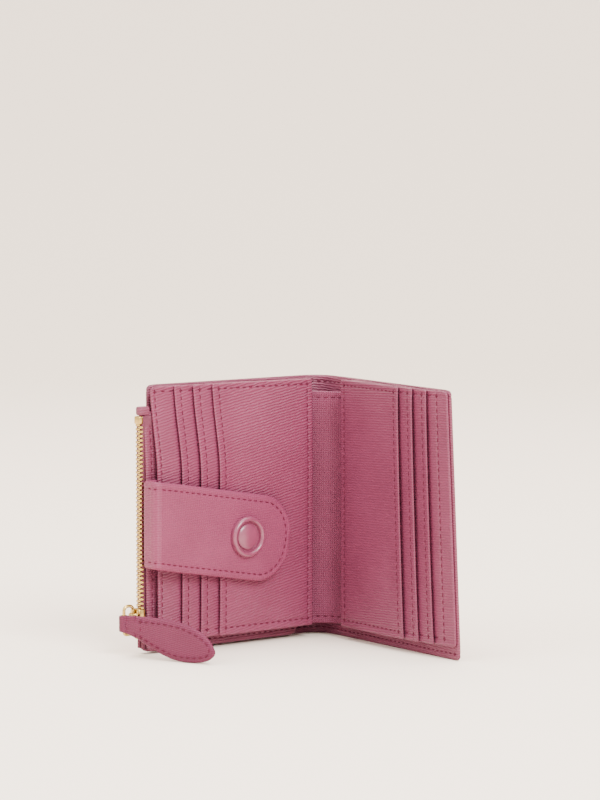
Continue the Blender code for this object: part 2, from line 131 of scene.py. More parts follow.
view = {
    "place": (-0.015293, -1.33698, 0.2040),
    "down": math.radians(4.72),
    "turn": math.radians(-0.89),
    "lens": 161.6,
    "clip": (0.05, 20),
}
studio = {
    "paper": {"Base Color": (0.97, 0.86, 0.75, 1), "Roughness": 0.85, "Specular IOR Level": 0.1},
    "sky": (1.0, 0.935, 0.865, 1),
    "skyStrength": 2.15,
    "lamp": (1.0, 0.985, 0.965),
    "key": {"place": (0.75, -1.25, 1.25), "size": 0.9, "power": 62},
    "fill": {"place": (-1.3, -0.8, 0.9), "size": 1.1, "power": 15},
    "top": {"place": (-0.1, 0.35, 1.5), "size": 1.2, "power": 34},
    "sweep": {"front": -4.0, "back": 1.3, "radius": 1.2, "top": 4.5, "half": 5.0, "steps": 16},
}


def makeCamera():
    data = bpy.data.cameras.new("camera")
    data.lens = view["lens"]
    data.clip_start, data.clip_end = view["clip"]
    camera = addObject("camera", data)
    camera.location = view["place"]
    camera.rotation_euler = (math.pi / 2 - view["down"], 0, view["turn"])
    bpy.context.scene.camera = camera


def makeLight(name, settings):
    data = bpy.data.lights.new(name, "AREA")
    data.size = settings["size"]
    data.energy = settings["power"]
    data.color = studio["lamp"]
    light = addObject(name, data)
    light.location = settings["place"]
    aim = upright * midHeight - light.location
    light.rotation_euler = aim.to_track_quat("-Z", "Y").to_euler()


def makeFloor(shape):
    # a floor that sweeps up into a wall, in one surface
    line = [(shape["front"], 0.0), (shape["back"], 0.0)]
    for n in range(1, shape["steps"] + 1):
        a = math.pi / 2 * n / shape["steps"]
        line.append((shape["back"] + shape["radius"] * math.sin(a), shape["radius"] * (1 - math.cos(a))))
    line.append((shape["back"] + shape["radius"], shape["top"]))
    sweep = bmesh.new()
    rows = [[sweep.verts.new((x, y, z)) for x in (-shape["half"], shape["half"])] for y, z in line]
    for low, high in zip(rows, rows[1:]):
        sweep.faces.new((low[0], low[1], high[1], high[0]))
    mesh = bpy.data.meshes.new("sweep")
    sweep.to_mesh(mesh)
    sweep.free()
    mesh.shade_smooth()
    paint = bpy.data.materials.new("floorPaper")
    paint.use_nodes = True
    shader = paint.node_tree.nodes["Principled BSDF"]
    for name, value in studio["paper"].items():
        shader.inputs[name].default_value = value
    mesh.materials.append(paint)
    addObject("floor", mesh)


def makeStudio():
    world = bpy.data.worlds.new("studio")
    bpy.context.scene.world = world
    world.use_nodes = True
    background = world.node_tree.nodes["Background"]
    background.inputs["Color"].default_value = studio["sky"]
    background.inputs["Strength"].default_value = studio["skyStrength"]
    for name in ("key", "fill", "top"):
        makeLight(name, studio[name])
    makeFloor(studio["sweep"])


makeCamera()
makeStudio()
print("camera and studio ready")


# the leathers: "period" is the distance in mm from one ridge of the grain to the next
leatherLook = {
    "panel": {"color": (0.172, 0.0275, 0.068), "shine": 0.36,
              "grain": "ridges", "period": 1.05, "lean": 11, "bump": 0.85},
    "pocket": {"color": (0.158, 0.0285, 0.066), "shine": 0.36,
               "grain": "ridges", "period": 0.95, "lean": -3, "bump": 0.5},
    "cover": {"color": (0.165, 0.031, 0.067), "shine": 0.36,
              "grain": "ridges", "period": 0.95, "lean": 2, "bump": 0.8},
    "spine": {"color": (0.180, 0.0320, 0.076), "shine": 0.25,
              "grain": "grid", "period": 0.85, "lean": 0, "bump": 0.9},
    "strap": {"color": (0.188, 0.0315, 0.077), "shine": 0.28,
              "grain": "lines", "period": 0.62, "lean": 0, "bump": 0.7},
    # the pull's leather colour, made darker still as painted shade for the shade the pull sits in
    "pull": {"color": (0.122, 0.0205, 0.050), "shine": 0.14,
             "grain": "lines", "period": 0.7, "lean": 8, "bump": 0.7},
}
hide = {
    "bandScale": 0.314,              # the wave texture's scale for bands one unit apart
    "cells": (0.16, 0.75, 1),        # long soft cells that break the ridges up
    "fine": 3.2,
    "speck": 0.3,
    "clouds": 0.06,                  # slow changes of colour over the hide
    "relief": 0.26 * mm,
    "hollow": (0.72, 0.62, 0.66),    # share of the colour in the hollows and on the crests
    "crest": (1.14, 1.2, 1.17),
    "rough": (0.56, 0.40),           # the same for roughness
    "wobble": {"ridges": 3.2, "grid": 0.6, "lines": 1.0, "cross": 0.8},
    "ridgeHeight": 1.6,
    "crossPeriod": 1.6,              # fine lines have a second set across them, wider and fainter
    "crossShare": 0.35,
    "lineHeight": 0.75,
    "shade": (0.55, 0.5),            # how much of the colour follows the height, and the clouds
    "ramp": (0.15, 0.85),
}
# thread, metal, enamel and tape: one texture drives the colour, and the relief or polish
plainLook = {
    # the thread's own dark tone, made darker still as painted shade for the shadow in the stitch holes
    "thread": {"name": "thread", "texture": "ShaderNodeTexWave",
               "pattern": {"bands_direction": "DIAGONAL", "Scale": 900},
               "dark": (0.060, 0.004, 0.016), "light": (0.105, 0.010, 0.032),
               "shader": {"Roughness": 0.6, "Specular IOR Level": 0.15}},
    # the gold's colours are darker than the pale metal itself: painted dark reflection, for the dark surroundings
    # the white studio lacks
    "gold": {"name": "paleGold", "texture": "ShaderNodeTexNoise",
             "pattern": {"Scale": 900, "Detail": 4},
             "dark": (0.38, 0.245, 0.06), "light": (0.7, 0.5, 0.18),
             "polish": (0.16, 0.32), "shader": {"Metallic": 1.0}},
    "enamel": {"name": "tonalEnamel", "texture": "ShaderNodeTexNoise", "pattern": {"Scale": 260},
               "dark": (0.165, 0.030, 0.068), "light": (0.205, 0.041, 0.086),
               "shader": {"Roughness": 0.3, "Coat Weight": 0.35, "Coat Roughness": 0.2}},
    "tape": {"name": "tapeCloth", "texture": "ShaderNodeTexWave",
             "pattern": {"bands_direction": "Z", "Scale": 700, "Distortion": 1.0},
             "dark": (0.08, 0.012, 0.028), "light": (0.16, 0.028, 0.06),
             "bump": (0.5, 0.1 * mm), "shader": {"Roughness": 0.85}},
}


def feed(tree, socket, value):
    if isinstance(value, bpy.types.NodeSocket):
        tree.links.new(value, socket)
    else:
        socket.default_value = value


def addNode(tree, kind, **values):
    # values are the node's own settings, or its inputs, with _ for a space
    node = tree.nodes.new(kind)
    node.location = (220 * (len(tree.nodes) % 6), -280 * (len(tree.nodes) // 6))
    for name, value in values.items():
        if hasattr(node, name):
            setattr(node, name, value)
        else:
            feed(tree, node.inputs[name.replace("_", " ")], value)
    return node


def mathNode(tree, operation, a, b):
    node = addNode(tree, "ShaderNodeMath", operation=operation)
    feed(tree, node.inputs[0], a)
    feed(tree, node.inputs[1], b)
    return node.outputs[0]


def waveBands(tree, spot, direction, period, wobble):
    wave = addNode(tree, "ShaderNodeTexWave", Vector=spot, bands_direction=direction,
                   Scale=hide["bandScale"] / period, Distortion=wobble, Detail=2.5, Detail_Scale=1.4)
    return wave.outputs["Fac"]


def colorRamp(tree, share, dark, light, low=0.0, high=1.0):
    node = addNode(tree, "ShaderNodeValToRGB", Fac=share)
    for element, color, place in zip(node.color_ramp.elements, (dark, light), (low, high)):
        element.position = place
        element.color = (*color, 1)
    return node.outputs["Color"]


def rangeNode(tree, value, ends):
    node = addNode(tree, "ShaderNodeMapRange", Value=value, To_Min=ends[0], To_Max=ends[1])
    return node.outputs["Result"]


def newFinish(name):
    material = bpy.data.materials.new(name)
    material.use_nodes = True
    return material, material.node_tree, material.node_tree.nodes["Principled BSDF"]


def setFinish(tree, shader, color, settings, height=None, strength=0, depth=0):
    feed(tree, shader.inputs["Base Color"], color)
    for name, value in settings.items():
        feed(tree, shader.inputs[name], value)
    if height:
        bump = addNode(tree, "ShaderNodeBump", Strength=strength, Distance=depth, Height=height)
        feed(tree, shader.inputs["Normal"], bump.outputs["Normal"])


def makeLeather(name, look):
    material, tree, shader = newFinish(name)
    place = addNode(tree, "ShaderNodeTexCoord").outputs["UV"]
    spot = addNode(tree, "ShaderNodeMapping", Vector=place, Scale=(1 / mm, 1 / mm, 1 / mm),
                   Rotation=(0, 0, math.radians(look["lean"]))).outputs["Vector"]
    stretch = addNode(tree, "ShaderNodeMapping", Vector=spot, Scale=hide["cells"]).outputs["Vector"]
    cells = addNode(tree, "ShaderNodeTexNoise", Vector=stretch, Scale=1.0, Detail=3.0).outputs["Fac"]
    fine = addNode(tree, "ShaderNodeTexNoise", Vector=spot, Scale=hide["fine"], Detail=4.0).outputs["Fac"]
    clouds = addNode(tree, "ShaderNodeTexNoise", Vector=spot, Scale=hide["clouds"]).outputs["Fac"]
    grain, period, wobble = look["grain"], look["period"], hide["wobble"]
    rows = waveBands(tree, spot, "Y", period, wobble[grain])
    if grain == "ridges":
        height = mathNode(tree, "MULTIPLY", mathNode(tree, "MULTIPLY", rows, cells), hide["ridgeHeight"])
    elif grain == "grid":
        height = mathNode(tree, "MULTIPLY", rows, waveBands(tree, spot, "X", period, wobble[grain]))
    else:
        columns = waveBands(tree, spot, "X", period * hide["crossPeriod"], wobble["cross"])
        height = mathNode(tree, "ADD", rows, mathNode(tree, "MULTIPLY", columns, hide["crossShare"]))
        height = mathNode(tree, "MULTIPLY", height, hide["lineHeight"])
    height = mathNode(tree, "ADD", height, mathNode(tree, "MULTIPLY", fine, hide["speck"]))
    # darker in the hollows, with slow changes over the hide
    shade = mathNode(tree, "MULTIPLY", height, hide["shade"][0])
    shade = mathNode(tree, "ADD", shade, mathNode(tree, "MULTIPLY", clouds, hide["shade"][1]))
    dark, light = [[a * b for a, b in zip(look["color"], hide[end])] for end in ("hollow", "crest")]
    settings = {"Roughness": rangeNode(tree, height, hide["rough"]), "Specular IOR Level": look["shine"]}
    setFinish(tree, shader, colorRamp(tree, shade, dark, light, *hide["ramp"]), settings,
              height, look["bump"], hide["relief"])
    return material


def makePlain(look):
    material, tree, shader = newFinish(look["name"])
    place = addNode(tree, "ShaderNodeTexCoord").outputs["Object"]
    pattern = addNode(tree, look["texture"], Vector=place, **look["pattern"]).outputs["Fac"]
    settings = dict(look["shader"])
    if "polish" in look:
        settings["Roughness"] = rangeNode(tree, pattern, look["polish"])
    relief = (pattern, *look["bump"]) if "bump" in look else ()
    setFinish(tree, shader, colorRamp(tree, pattern, look["dark"], look["light"]), settings, *relief)
    return material


finish = {name: makeLeather(name + "Leather", look) for name, look in leatherLook.items()}
for name, look in plainLook.items():
    finish[name] = makePlain(look)
print("finishes ready")


sheetShape = {
    "edgeShares": (0.0, 0.12, 0.35, 0.65, 1.0),                         # lines of the mesh at an edge
    "seamShifts": (-0.7 * mm, -0.3 * mm, 0, 0.3 * mm, 0.7 * mm),        # and on both sides of a seam
    "columnStep": 2.2 * mm, "rowStep": 2.4 * mm, "least": 0.04 * mm,
    "grooveDeep": 0.17 * mm, "grooveWide": 0.4 * mm,
    "mouthBow": 0.75 * mm, "mouthReach": 7 * mm,
    "calmEdge": 6 * mm,                                                 # no unevenness at the border
    "sinkStart": 10 * mm, "sinkRun": 9 * mm,                            # where a sunken fore-edge turns in
}


def groove(distance, deep=sheetShape["grooveDeep"]):
    # how far a seam draws the leather in, at a distance from its line
    return deep * math.exp(-(distance / sheetShape["grooveWide"]) ** 2)


def spread(low, high, edge, step, extra=()):
    # positions from low to high, close together near both ends and round each extra line
    places = set()
    for t in sheetShape["edgeShares"]:
        places.add(low + edge * t)
        places.add(high - edge * t)
    count = max(2, math.ceil((high - low - 2 * edge) / step))
    for n in range(count + 1):
        places.add(low + edge + (high - low - 2 * edge) * n / count)
    for line in extra:
        for shift in sheetShape["seamShifts"]:
            if low + edge < line + shift < high - edge:
                places.add(line + shift)
    ordered = sorted(places)
    kept = [ordered[0]]
    for place in ordered[1:]:
        if place - kept[-1] > sheetShape["least"]:
            kept.append(place)
    kept[-1] = high
    return kept


def edgeRound(distance, radius):
    if distance >= radius:
        return 1.0
    return math.sqrt(max(0.0, 1 - (1 - distance / radius) ** 2))


def roundCorner(u, z, us, zs, radius):
    # pulls the points near a sheet's corners in to a round outline
    du = min(u - us[0], us[-1] - u)
    dz = min(z - zs[0], zs[-1] - z)
    if du >= radius or dz >= radius:
        return u, z
    a, b = radius - du, radius - dz
    reach = math.hypot(a, b)
    if reach < 1e-9:
        return u, z
    share = 1 - max(a, b) / reach
    u += a * share if u - us[0] < us[-1] - u else -a * share
    z += b * share if z - zs[0] < zs[-1] - z else -b * share
    return u, z


def closeMesh(body, name, sharp=None):
    # a finished mesh from a closed body, with its faces turned out; sharp is in degrees
    bmesh.ops.recalc_face_normals(body, faces=body.faces)
    if body.calc_volume(signed=True) < 0:
        bmesh.ops.reverse_faces(body, faces=body.faces)
    mesh = bpy.data.meshes.new(name)
    body.to_mesh(mesh)
    body.free()
    mesh.shade_smooth()
    if sharp:
        mesh.set_sharp_from_angle(angle=math.radians(sharp))
    return mesh


def gridMesh(name, columns, rows, centre, normal, half, place, caps=(False, False)):
    # a closed sheet: two faces that meet at the border, or at a flat cap where an end is cut
    body = bmesh.new()
    layer = body.loops.layers.uv.new("pattern")
    spots = {}
    sides = []
    endColumn, endRow = len(columns) - 1, len(rows) - 1
    pointed = [n for n, cut in zip((0, endColumn), caps) if not cut]
    for way in (1, -1):
        side = []
        for i, c in enumerate(columns):
            line = []
            for j, r in enumerate(rows):
                border = i in pointed or j in (0, endRow)
                if border and way < 0:
                    line.append(sides[0][i][j])
                    continue
                height = 0.0 if border else half(c, r, way)
                vert = body.verts.new(centre(c, r) + normal(c, r) * height * way)
                spots[vert] = place(c, r)
                line.append(vert)
            side.append(line)
        sides.append(side)
    rings = []
    for way, side in zip((1, -1), sides):
        for i in range(endColumn):
            for j in range(endRow):
                ring = [side[i][j], side[i + 1][j], side[i + 1][j + 1], side[i][j + 1]]
                rings.append(ring if way > 0 else ring[::-1])
    for i, cut in zip((0, endColumn), caps):
        if cut:
            for j in range(endRow):
                front, back = sides[0][i], sides[1][i]
                ring = [front[j], front[j + 1], back[j + 1], back[j]]
                rings.append([v for n, v in enumerate(ring) if v not in ring[:n]])
    for ring in rings:
        for loop in body.faces.new(ring).loops:
            loop[layer].uv = spots[loop.vert]
    return closeMesh(body, name, 62)


def addPiece(name, mesh, look, body, replaced=()):
    piece = addObject(name, mesh)
    mesh.materials.clear()
    mesh.materials.append(finish[look])
    if body:
        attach(piece, body)
    if replaced:
        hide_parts(*replaced)
    return piece


def pinch(u, z, most=1.0):
    # how far the left leaf's cards lean back near their top, most at the fore-edge
    near, far = leafShape["pinchReach"]
    up = smooth((z - leafShape["pinchStart"]) / (cardTop - leafShape["pinchStart"]))
    out = smooth((u - near) / (far - near))
    least = leafShape["pinchLeast"]
    return -leafShape["pinchDepth"] * most * up * (least + (1 - least) * out)


def uneven(u, z, seed):
    # slow, shallow waves, different for each sheet
    a = math.sin(u / (17 * mm) + seed) * math.cos(z / (23 * mm) + 1.7 * seed)
    b = math.sin(u / (9 * mm) - 2.1 * seed + z / (31 * mm))
    return leafShape["wave"] * (0.6 * a + 0.4 * b)


def leafSheet(name, node, side, seams=(), mouth=False, corner=1.6 * mm, seed=0.0, reach=None,
              lean=1.0, start=0.0, sink=0.0):
    # a leather sheet in the place of a flat CAD node; seams are ("up", reach) or ("along", height)
    (u0, u1), depths, (z0, z1) = leafSpan(node, side)
    u0 += start
    u1 = reach or u1
    thick = depths[1] - depths[0]
    edge = thick * 0.75
    upSeams = [value for kind, value in seams if kind == "up"]
    alongSeams = [value for kind, value in seams if kind == "along"]
    columns = spread(u0, u1, edge, sheetShape["columnStep"], upSeams)
    rows = spread(z0, z1, edge, sheetShape["rowStep"], alongSeams)

    calm = sheetShape["calmEdge"]

    def depth(u, z):
        value = middleOf(depths) + uneven(u, z, seed) * edgeRound(min(z - z0, z1 - z, u1 - u), calm)
        if side == "left":
            value += pinch(u, z, lean)
        value -= sink * smooth((u - u1 + sheetShape["sinkStart"]) / sheetShape["sinkRun"])
        if mouth:
            # a pocket's mouth stands a little open between its sewn ends
            near = smooth(1 - (u1 - u) / sheetShape["mouthReach"])
            between = math.sin(math.pi * (z - z0) / (z1 - z0)) ** 0.35
            value += sheetShape["mouthBow"] * near * between
        return value

    def centre(u, z):
        a, b = roundCorner(u, z, columns, rows, corner)
        return leafPoint(side, a, depth(u, z), b)

    def half(u, z, way):
        size = thick / 2 * edgeRound(min(u - u0, u1 - u, z - z0, z1 - z), edge)
        if way > 0:
            size -= sum(groove(u - line) for line in upSeams)
            size -= sum(groove(z - line) for line in alongSeams)
        return size

    mesh = gridMesh(name, columns, rows, centre, lambda u, z: leafAxes(side, z)[1], half, lambda u, z: (u, z))
    return mesh, depth, thick


def buildRowTree():
    # sets one small shape at even steps along a line, turned to follow it
    tree = bpy.data.node_groups.new("rowAlongLine", "GeometryNodeTree")
    inputs = {"Geometry": "Geometry", "Shape": "Object", "Step": "Float", "Finish": "Material"}
    for name, kind in inputs.items():
        tree.interface.new_socket(name, in_out="INPUT", socket_type="NodeSocket" + kind)
    tree.interface.new_socket("Geometry", in_out="OUTPUT", socket_type="NodeSocketGeometry")
    given = addNode(tree, "NodeGroupInput").outputs
    line = addNode(tree, "GeometryNodeMeshToCurve", Mesh=given["Geometry"])
    steps = addNode(tree, "GeometryNodeResampleCurve", mode="LENGTH",
                    Curve=line.outputs["Curve"], Length=given["Step"])
    shape = addNode(tree, "GeometryNodeObjectInfo", Object=given["Shape"])
    tangent = addNode(tree, "GeometryNodeInputTangent")
    align = addNode(tree, "FunctionNodeAlignRotationToVector", axis="Z", Vector=tangent.outputs["Tangent"])
    copies = addNode(tree, "GeometryNodeInstanceOnPoints", Points=steps.outputs["Curve"],
                     Instance=shape.outputs["Geometry"], Rotation=align.outputs["Rotation"])
    real = addNode(tree, "GeometryNodeRealizeInstances", Geometry=copies.outputs["Instances"])
    paint = addNode(tree, "GeometryNodeSetMaterial", Geometry=real.outputs["Geometry"],
                    Material=given["Finish"])
    addNode(tree, "NodeGroupOutput", Geometry=paint.outputs["Geometry"])
    return tree


rowTree = buildRowTree()
stitch = {"step": 2.7 * mm, "length": 1.8 * mm, "thread": 0.27 * mm}


def linesMesh(name, lines):
    # open lines of points as one mesh of edges
    points, edges = [], []
    for line in lines:
        start = len(points)
        points += [tuple(p) for p in line]
        edges += [(start + n, start + n + 1) for n in range(len(line) - 1)]
    mesh = bpy.data.meshes.new(name)
    mesh.from_pydata(points, edges, [])
    return mesh


def plainMesh(holder):
    # the evaluated mesh of an object that was only there to make it
    mesh = bpy.data.meshes.new_from_object(holder.evaluated_get(bpy.context.evaluated_depsgraph_get()))
    bpy.data.objects.remove(holder)
    return mesh


def rowMesh(name, lines, shape, step, look):
    # the row of shapes along all the lines, as a plain mesh
    holder = addObject(name + "Line", linesMesh(name, lines))
    rows = holder.modifiers.new("rows", "NODES")
    rows.node_group = rowTree
    sockets = {s.name: s.identifier for s in rowTree.interface.items_tree if s.in_out == "INPUT"}
    rows[sockets["Shape"]] = shape
    rows[sockets["Step"]] = step
    rows[sockets["Finish"]] = finish[look]
    mesh = plainMesh(holder)
    mesh.name = name
    return mesh


def threadShape():
    # one stitch: a short rounded length of thread, lying along Z
    body = bmesh.new()
    bmesh.ops.create_uvsphere(body, u_segments=6, v_segments=5, radius=1)
    for vert in body.verts:
        x, y, z = vert.co
        wide = stitch["thread"] * (1.0 if abs(z) < 0.5 else 0.8)
        vert.co = Vector((x * wide, y * wide, z * stitch["length"] / 2))
    return addObject("oneStitch", closeMesh(body, "oneStitch"))


oneStitch = threadShape()


def sew(name, lines, body=None):
    # a row of stitches along each line; it rides on a body, or the caller fixes its placement
    mesh = rowMesh(name, lines, oneStitch, stitch["step"], "thread")
    return addPiece(name, mesh, "thread", body)


def straight(start, end, count=40):
    return [start.lerp(end, n / count) for n in range(count + 1)]


# the outer cover: one hide from fore-edge to fore-edge, round the spine
coverShape = {"leftReach": 73.4 * mm, "rightReach": 76.3 * mm, "corner": 2.2 * mm, "inset": 2.4 * mm,
              "archPull": 0.6, "archSteps": 22, "sink": 0.08 * mm}


def archPoint(t, z, start, leftDepth, rightDepth, pull):
    # a point of the smooth arch from one leaf to the other, at one height
    first = leafPoint("left", start, leftDepth, z)
    last = leafPoint("right", start, rightDepth, z)
    reach = (last - first).length * pull
    second = first - leafAxes("left", z)[0] * reach
    third = last - leafAxes("right", z)[0] * reach
    s = 1 - t
    return first * s**3 + second * 3 * t * s * s + third * 3 * t * t * s + last * t**3


def archInward(t, z, *shape):
    along = archPoint(min(1, t + 0.01), z, *shape) - archPoint(max(0, t - 0.01), z, *shape)
    return Vector((along.y, -along.x, 0)).normalized()


class FoldedSheet:
    # a sheet that runs along the left leaf, round an arch and along the right leaf

    def __init__(self, leftReach, rightReach, start, leftDepth, rightDepth, pull):
        self.leftReach = leftReach
        self.start = start
        self.shape = (start, leftDepth, rightDepth, pull)
        self.depths = (leftDepth, rightDepth)
        points = [archPoint(n / 20, midHeight, *self.shape) for n in range(21)]
        self.arch = sum((b - a).length for a, b in zip(points, points[1:]))
        self.left = leftReach - start
        self.length = self.left + self.arch + rightReach - start

    def spot(self, s, z):
        # centre point and inward direction, s along the sheet from the left end
        if s < self.left:
            return leafPoint("left", self.leftReach - s, self.depths[0], z), leafAxes("left", z)[1]
        if s > self.left + self.arch:
            u = self.start + s - self.left - self.arch
            return leafPoint("right", u, self.depths[1], z), leafAxes("right", z)[1]
        t = (s - self.left) / self.arch
        return archPoint(t, z, *self.shape), archInward(t, z, *self.shape)

    def bend(self, piece):
        # fixes a piece's placement into its mesh; it is not blended round the fold
        first = self.spot(self.left, midHeight)[0]
        last = self.spot(self.left + self.arch, midHeight)[0]
        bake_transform(piece)


def foldedMesh(name, sheet, foot, top, thick, corner, lines=()):
    edge = thick * 0.8
    steps = coverShape["archSteps"]
    extra = [sheet.left + sheet.arch * n / steps for n in range(steps + 1)]
    columns = set(spread(0, sheet.length, edge, sheetShape["rowStep"]))
    columns = sorted(columns | {c for c in extra if edge < c < sheet.length - edge})
    columns = [c for n, c in enumerate(columns) if n == 0 or c - columns[n - 1] > 0.05 * mm]
    rows = spread(foot, top, edge, sheetShape["rowStep"], lines)

    def centre(s, z):
        a, b = roundCorner(s, z, columns, rows, corner)
        return sheet.spot(a, b)[0]

    def half(s, z, way):
        size = thick / 2 * edgeRound(min(s, sheet.length - s, z - foot, top - z), edge)
        return size - sum(groove(z - line) for line in lines)

    return gridMesh(name, columns, rows, centre, lambda s, z: sheet.spot(s, z)[1], half, lambda s, z: (s, z))


def foldedRow(sheet, z, start, end, lift, steps=160):
    points = []
    for n in range(steps + 1):
        place, inward = sheet.spot(start + (end - start) * n / steps, z)
        points.append(place + inward * lift)
    return points


def makeCover():
    (start, _), leftDepths, (foot, top) = leafSpan("outer_cover_left")
    rightDepths = leafSpan("outer_cover_right", "right")[1]
    thick = leftDepths[1] - leftDepths[0]
    sheet = FoldedSheet(coverShape["leftReach"], coverShape["rightReach"], start,
                        middleOf(leftDepths), middleOf(rightDepths), coverShape["archPull"])
    inset = coverShape["inset"]
    lines = (foot + inset, top - inset)
    mesh = foldedMesh("outerCover", sheet, foot, top, thick, coverShape["corner"], lines)
    sheet.bend(addPiece("outerCover", mesh, "cover", None,
                        ("outer_cover_left", "outer_cover_right", "spine_panel")))
    rows = []
    raised = thick / 2 - coverShape["sink"]
    for lift in (raised, -raised):
        for z in lines:
            rows.append(foldedRow(sheet, z, inset, sheet.length - inset, lift))
        for s in (inset, sheet.length - inset):
            low, high = [place + inward * lift for place, inward in (sheet.spot(s, z) for z in lines)]
            rows.append(straight(low, high))
    sheet.bend(sew("coverStitches", rows))


makeCover()
print("cover made")


cards = {"mouthSeam": 3.0 * mm, "footSeam": 2.7 * mm, "topSeam": 1.9 * mm, "spineSeam": 2.4 * mm,
         "foreSeam": 1.8 * mm, "start": {"left": -1.8 * mm, "right": 2.4 * mm}, "overlap": 0.8 * mm,
         "corner": {"panel": 1.8 * mm, "pocket": 0.8 * mm}, "look": {"left": "panel", "right": "pocket"},
         "rightReach": 76.0 * mm, "rightForeSeam": 6.2 * mm, "rightSink": 0.8 * mm, "rowSink": 0.12 * mm}


def seamRow(side, depth, thick, start, end, steps=50):
    # points along a seam on a sheet's front, between two (reach, height) places
    points = []
    for n in range(steps + 1):
        u = start[0] + (end[0] - start[0]) * n / steps
        z = start[1] + (end[1] - start[1]) * n / steps
        points.append(leafPoint(side, u, depth(u, z) + thick / 2 - cards["rowSink"], z))
    return points


def makeCards(side):
    body = side + "_leaf"
    names = ["card_panel_" + side] + [f"card_pocket_{side}_{n}" for n in (1, 2, 3)]
    reaches = [leafSpan(name, side)[0][1] for name in names]
    rows = []
    for n, name in enumerate(names):
        (u0, u1), _, (z0, z1) = leafSpan(name, side)
        low, high = z0 + cards["footSeam"], z1 - cards["topSeam"]
        u0 += cards["start"][side]
        # the right panel runs out to the cover's edge and is turned in over it
        flush = side == "right" and n == 0
        inset = cards["foreSeam"] if n == 0 else cards["mouthSeam"]
        if flush:
            u1, inset = cards["rightReach"], cards["rightForeSeam"]
        seams = [("up", u1 - inset), ("along", low), ("along", high)]
        if n == 3:
            seams.append(("up", u0 + cards["spineSeam"]))
        mesh, depth, thick = leafSheet(name + "Leather", name, side, seams, mouth=n > 0, reach=u1,
                                       corner=cards["corner"]["pocket" if n else "panel"],
                                       seed=1.3 * n + (side == "right"), start=cards["start"][side],
                                       sink=cards["rightSink"] if flush else 0.0)
        addPiece(name + "Leather", mesh, cards["look"][side], body, (name,))
        shown = u0 + cards["spineSeam"] if n == 3 else reaches[n + 1] + cards["overlap"]
        rows.append(seamRow(side, depth, thick, (u1 - inset, low), (u1 - inset, high)))
        for z in (low, high):
            rows.append(seamRow(side, depth, thick, (shown, z), (u1 - inset, z)))
        if n == 3:
            rows.append(seamRow(side, depth, thick, (shown, low), (shown, high)))
    sew(side + "CardStitches", rows, body)


makeCards("left")
makeCards("right")


liningShape = {"reach": 4 * mm, "back": 0.42 * mm, "thick": 0.8 * mm, "corner": 0.4 * mm, "pull": 0.35,
               "topSeam": 2.3 * mm, "inset": 2 * mm, "lift": 0.3 * mm}


def makeSpineLining():
    (u0, _), depths, (foot, _) = leafSpan("card_panel_left")
    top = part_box("spine_lining")[1].z
    back = depths[0] - liningShape["back"]
    reach = u0 + liningShape["reach"]
    sheet = FoldedSheet(reach, reach, u0, back, back, liningShape["pull"])
    seams = (foot + cards["footSeam"], top - liningShape["topSeam"])
    mesh = foldedMesh("spineLining", sheet, foot, top, liningShape["thick"], liningShape["corner"], seams)
    sheet.bend(addPiece("spineLining", mesh, "spine", None, ("spine_lining",)))
    inset = liningShape["inset"]
    rows = [foldedRow(sheet, z, inset, sheet.length - inset, liningShape["lift"], 60) for z in seams]
    sheet.bend(sew("spineLiningStitches", rows))


makeSpineLining()
print("linings and card pockets made")


def roundedBox(name, spans, radius, segments=3):
    # a box on the left leaf with every edge rounded; spans are reach, depth and height
    body = bmesh.new()
    bmesh.ops.create_cube(body, size=1)
    for vert in body.verts:
        vert.co = Vector([middleOf(span) + (span[1] - span[0]) * c for span, c in zip(spans, vert.co)])
    bmesh.ops.bevel(body, geom=body.edges, offset=radius, segments=segments, profile=0.5, affect="EDGES")
    layer = body.loops.layers.uv.new("pattern")
    for face in body.faces:
        for loop in face.loops:
            u, w, z = loop.vert.co
            loop[layer].uv = (u + w, z)
    for vert in body.verts:
        vert.co = leafPoint("left", *vert.co)
    return closeMesh(body, name, 50)


coinShape = {"lean": {"front": 0.52, "back": 0.0}, "corner": 2.6 * mm, "seed": 4.1, "foreSeam": 2.6 * mm,
             "endSeam": 2.2 * mm, "seamStart": 2 * mm, "gusset": 0.9 * mm, "gussetRound": 0.3 * mm}


def makeCoinPocket():
    for ending, lean in coinShape["lean"].items():
        node = "coin_pocket_" + ending
        (u0, u1), _, (z0, z1) = leafSpan(node)
        fore, low, high = u1 - coinShape["foreSeam"], z0 + coinShape["endSeam"], z1 - coinShape["endSeam"]
        seams = [("up", fore), ("along", low), ("along", high)]
        mesh, depth, thick = leafSheet(node + "Leather", node, "left", seams, corner=coinShape["corner"],
                                       seed=coinShape["seed"], lean=lean)
        addPiece(node + "Leather", mesh, "cover", "left_leaf", (node,))
        if ending == "front":
            begin = u0 + coinShape["seamStart"]
            corners = [(begin, low), (fore, low), (fore, high), (begin, high)]
            rows = [seamRow("left", depth, thick, *ends) for ends in zip(corners, corners[1:])]
    sew("coinPocketStitches", rows, "left_leaf")
    for name in ("coin_gusset_lower", "coin_gusset_upper"):
        spans = leafSpan(name)
        if name.endswith("upper"):
            # the upper one stays behind the leaning front wall
            spans[1] = (spans[1][0], spans[1][0] + coinShape["gusset"])
        mesh = roundedBox(name + "Leather", spans, coinShape["gussetRound"])
        addPiece(name + "Leather", mesh, "spine", "left_leaf", (name,))


makeCoinPocket()
print("coin pocket made")


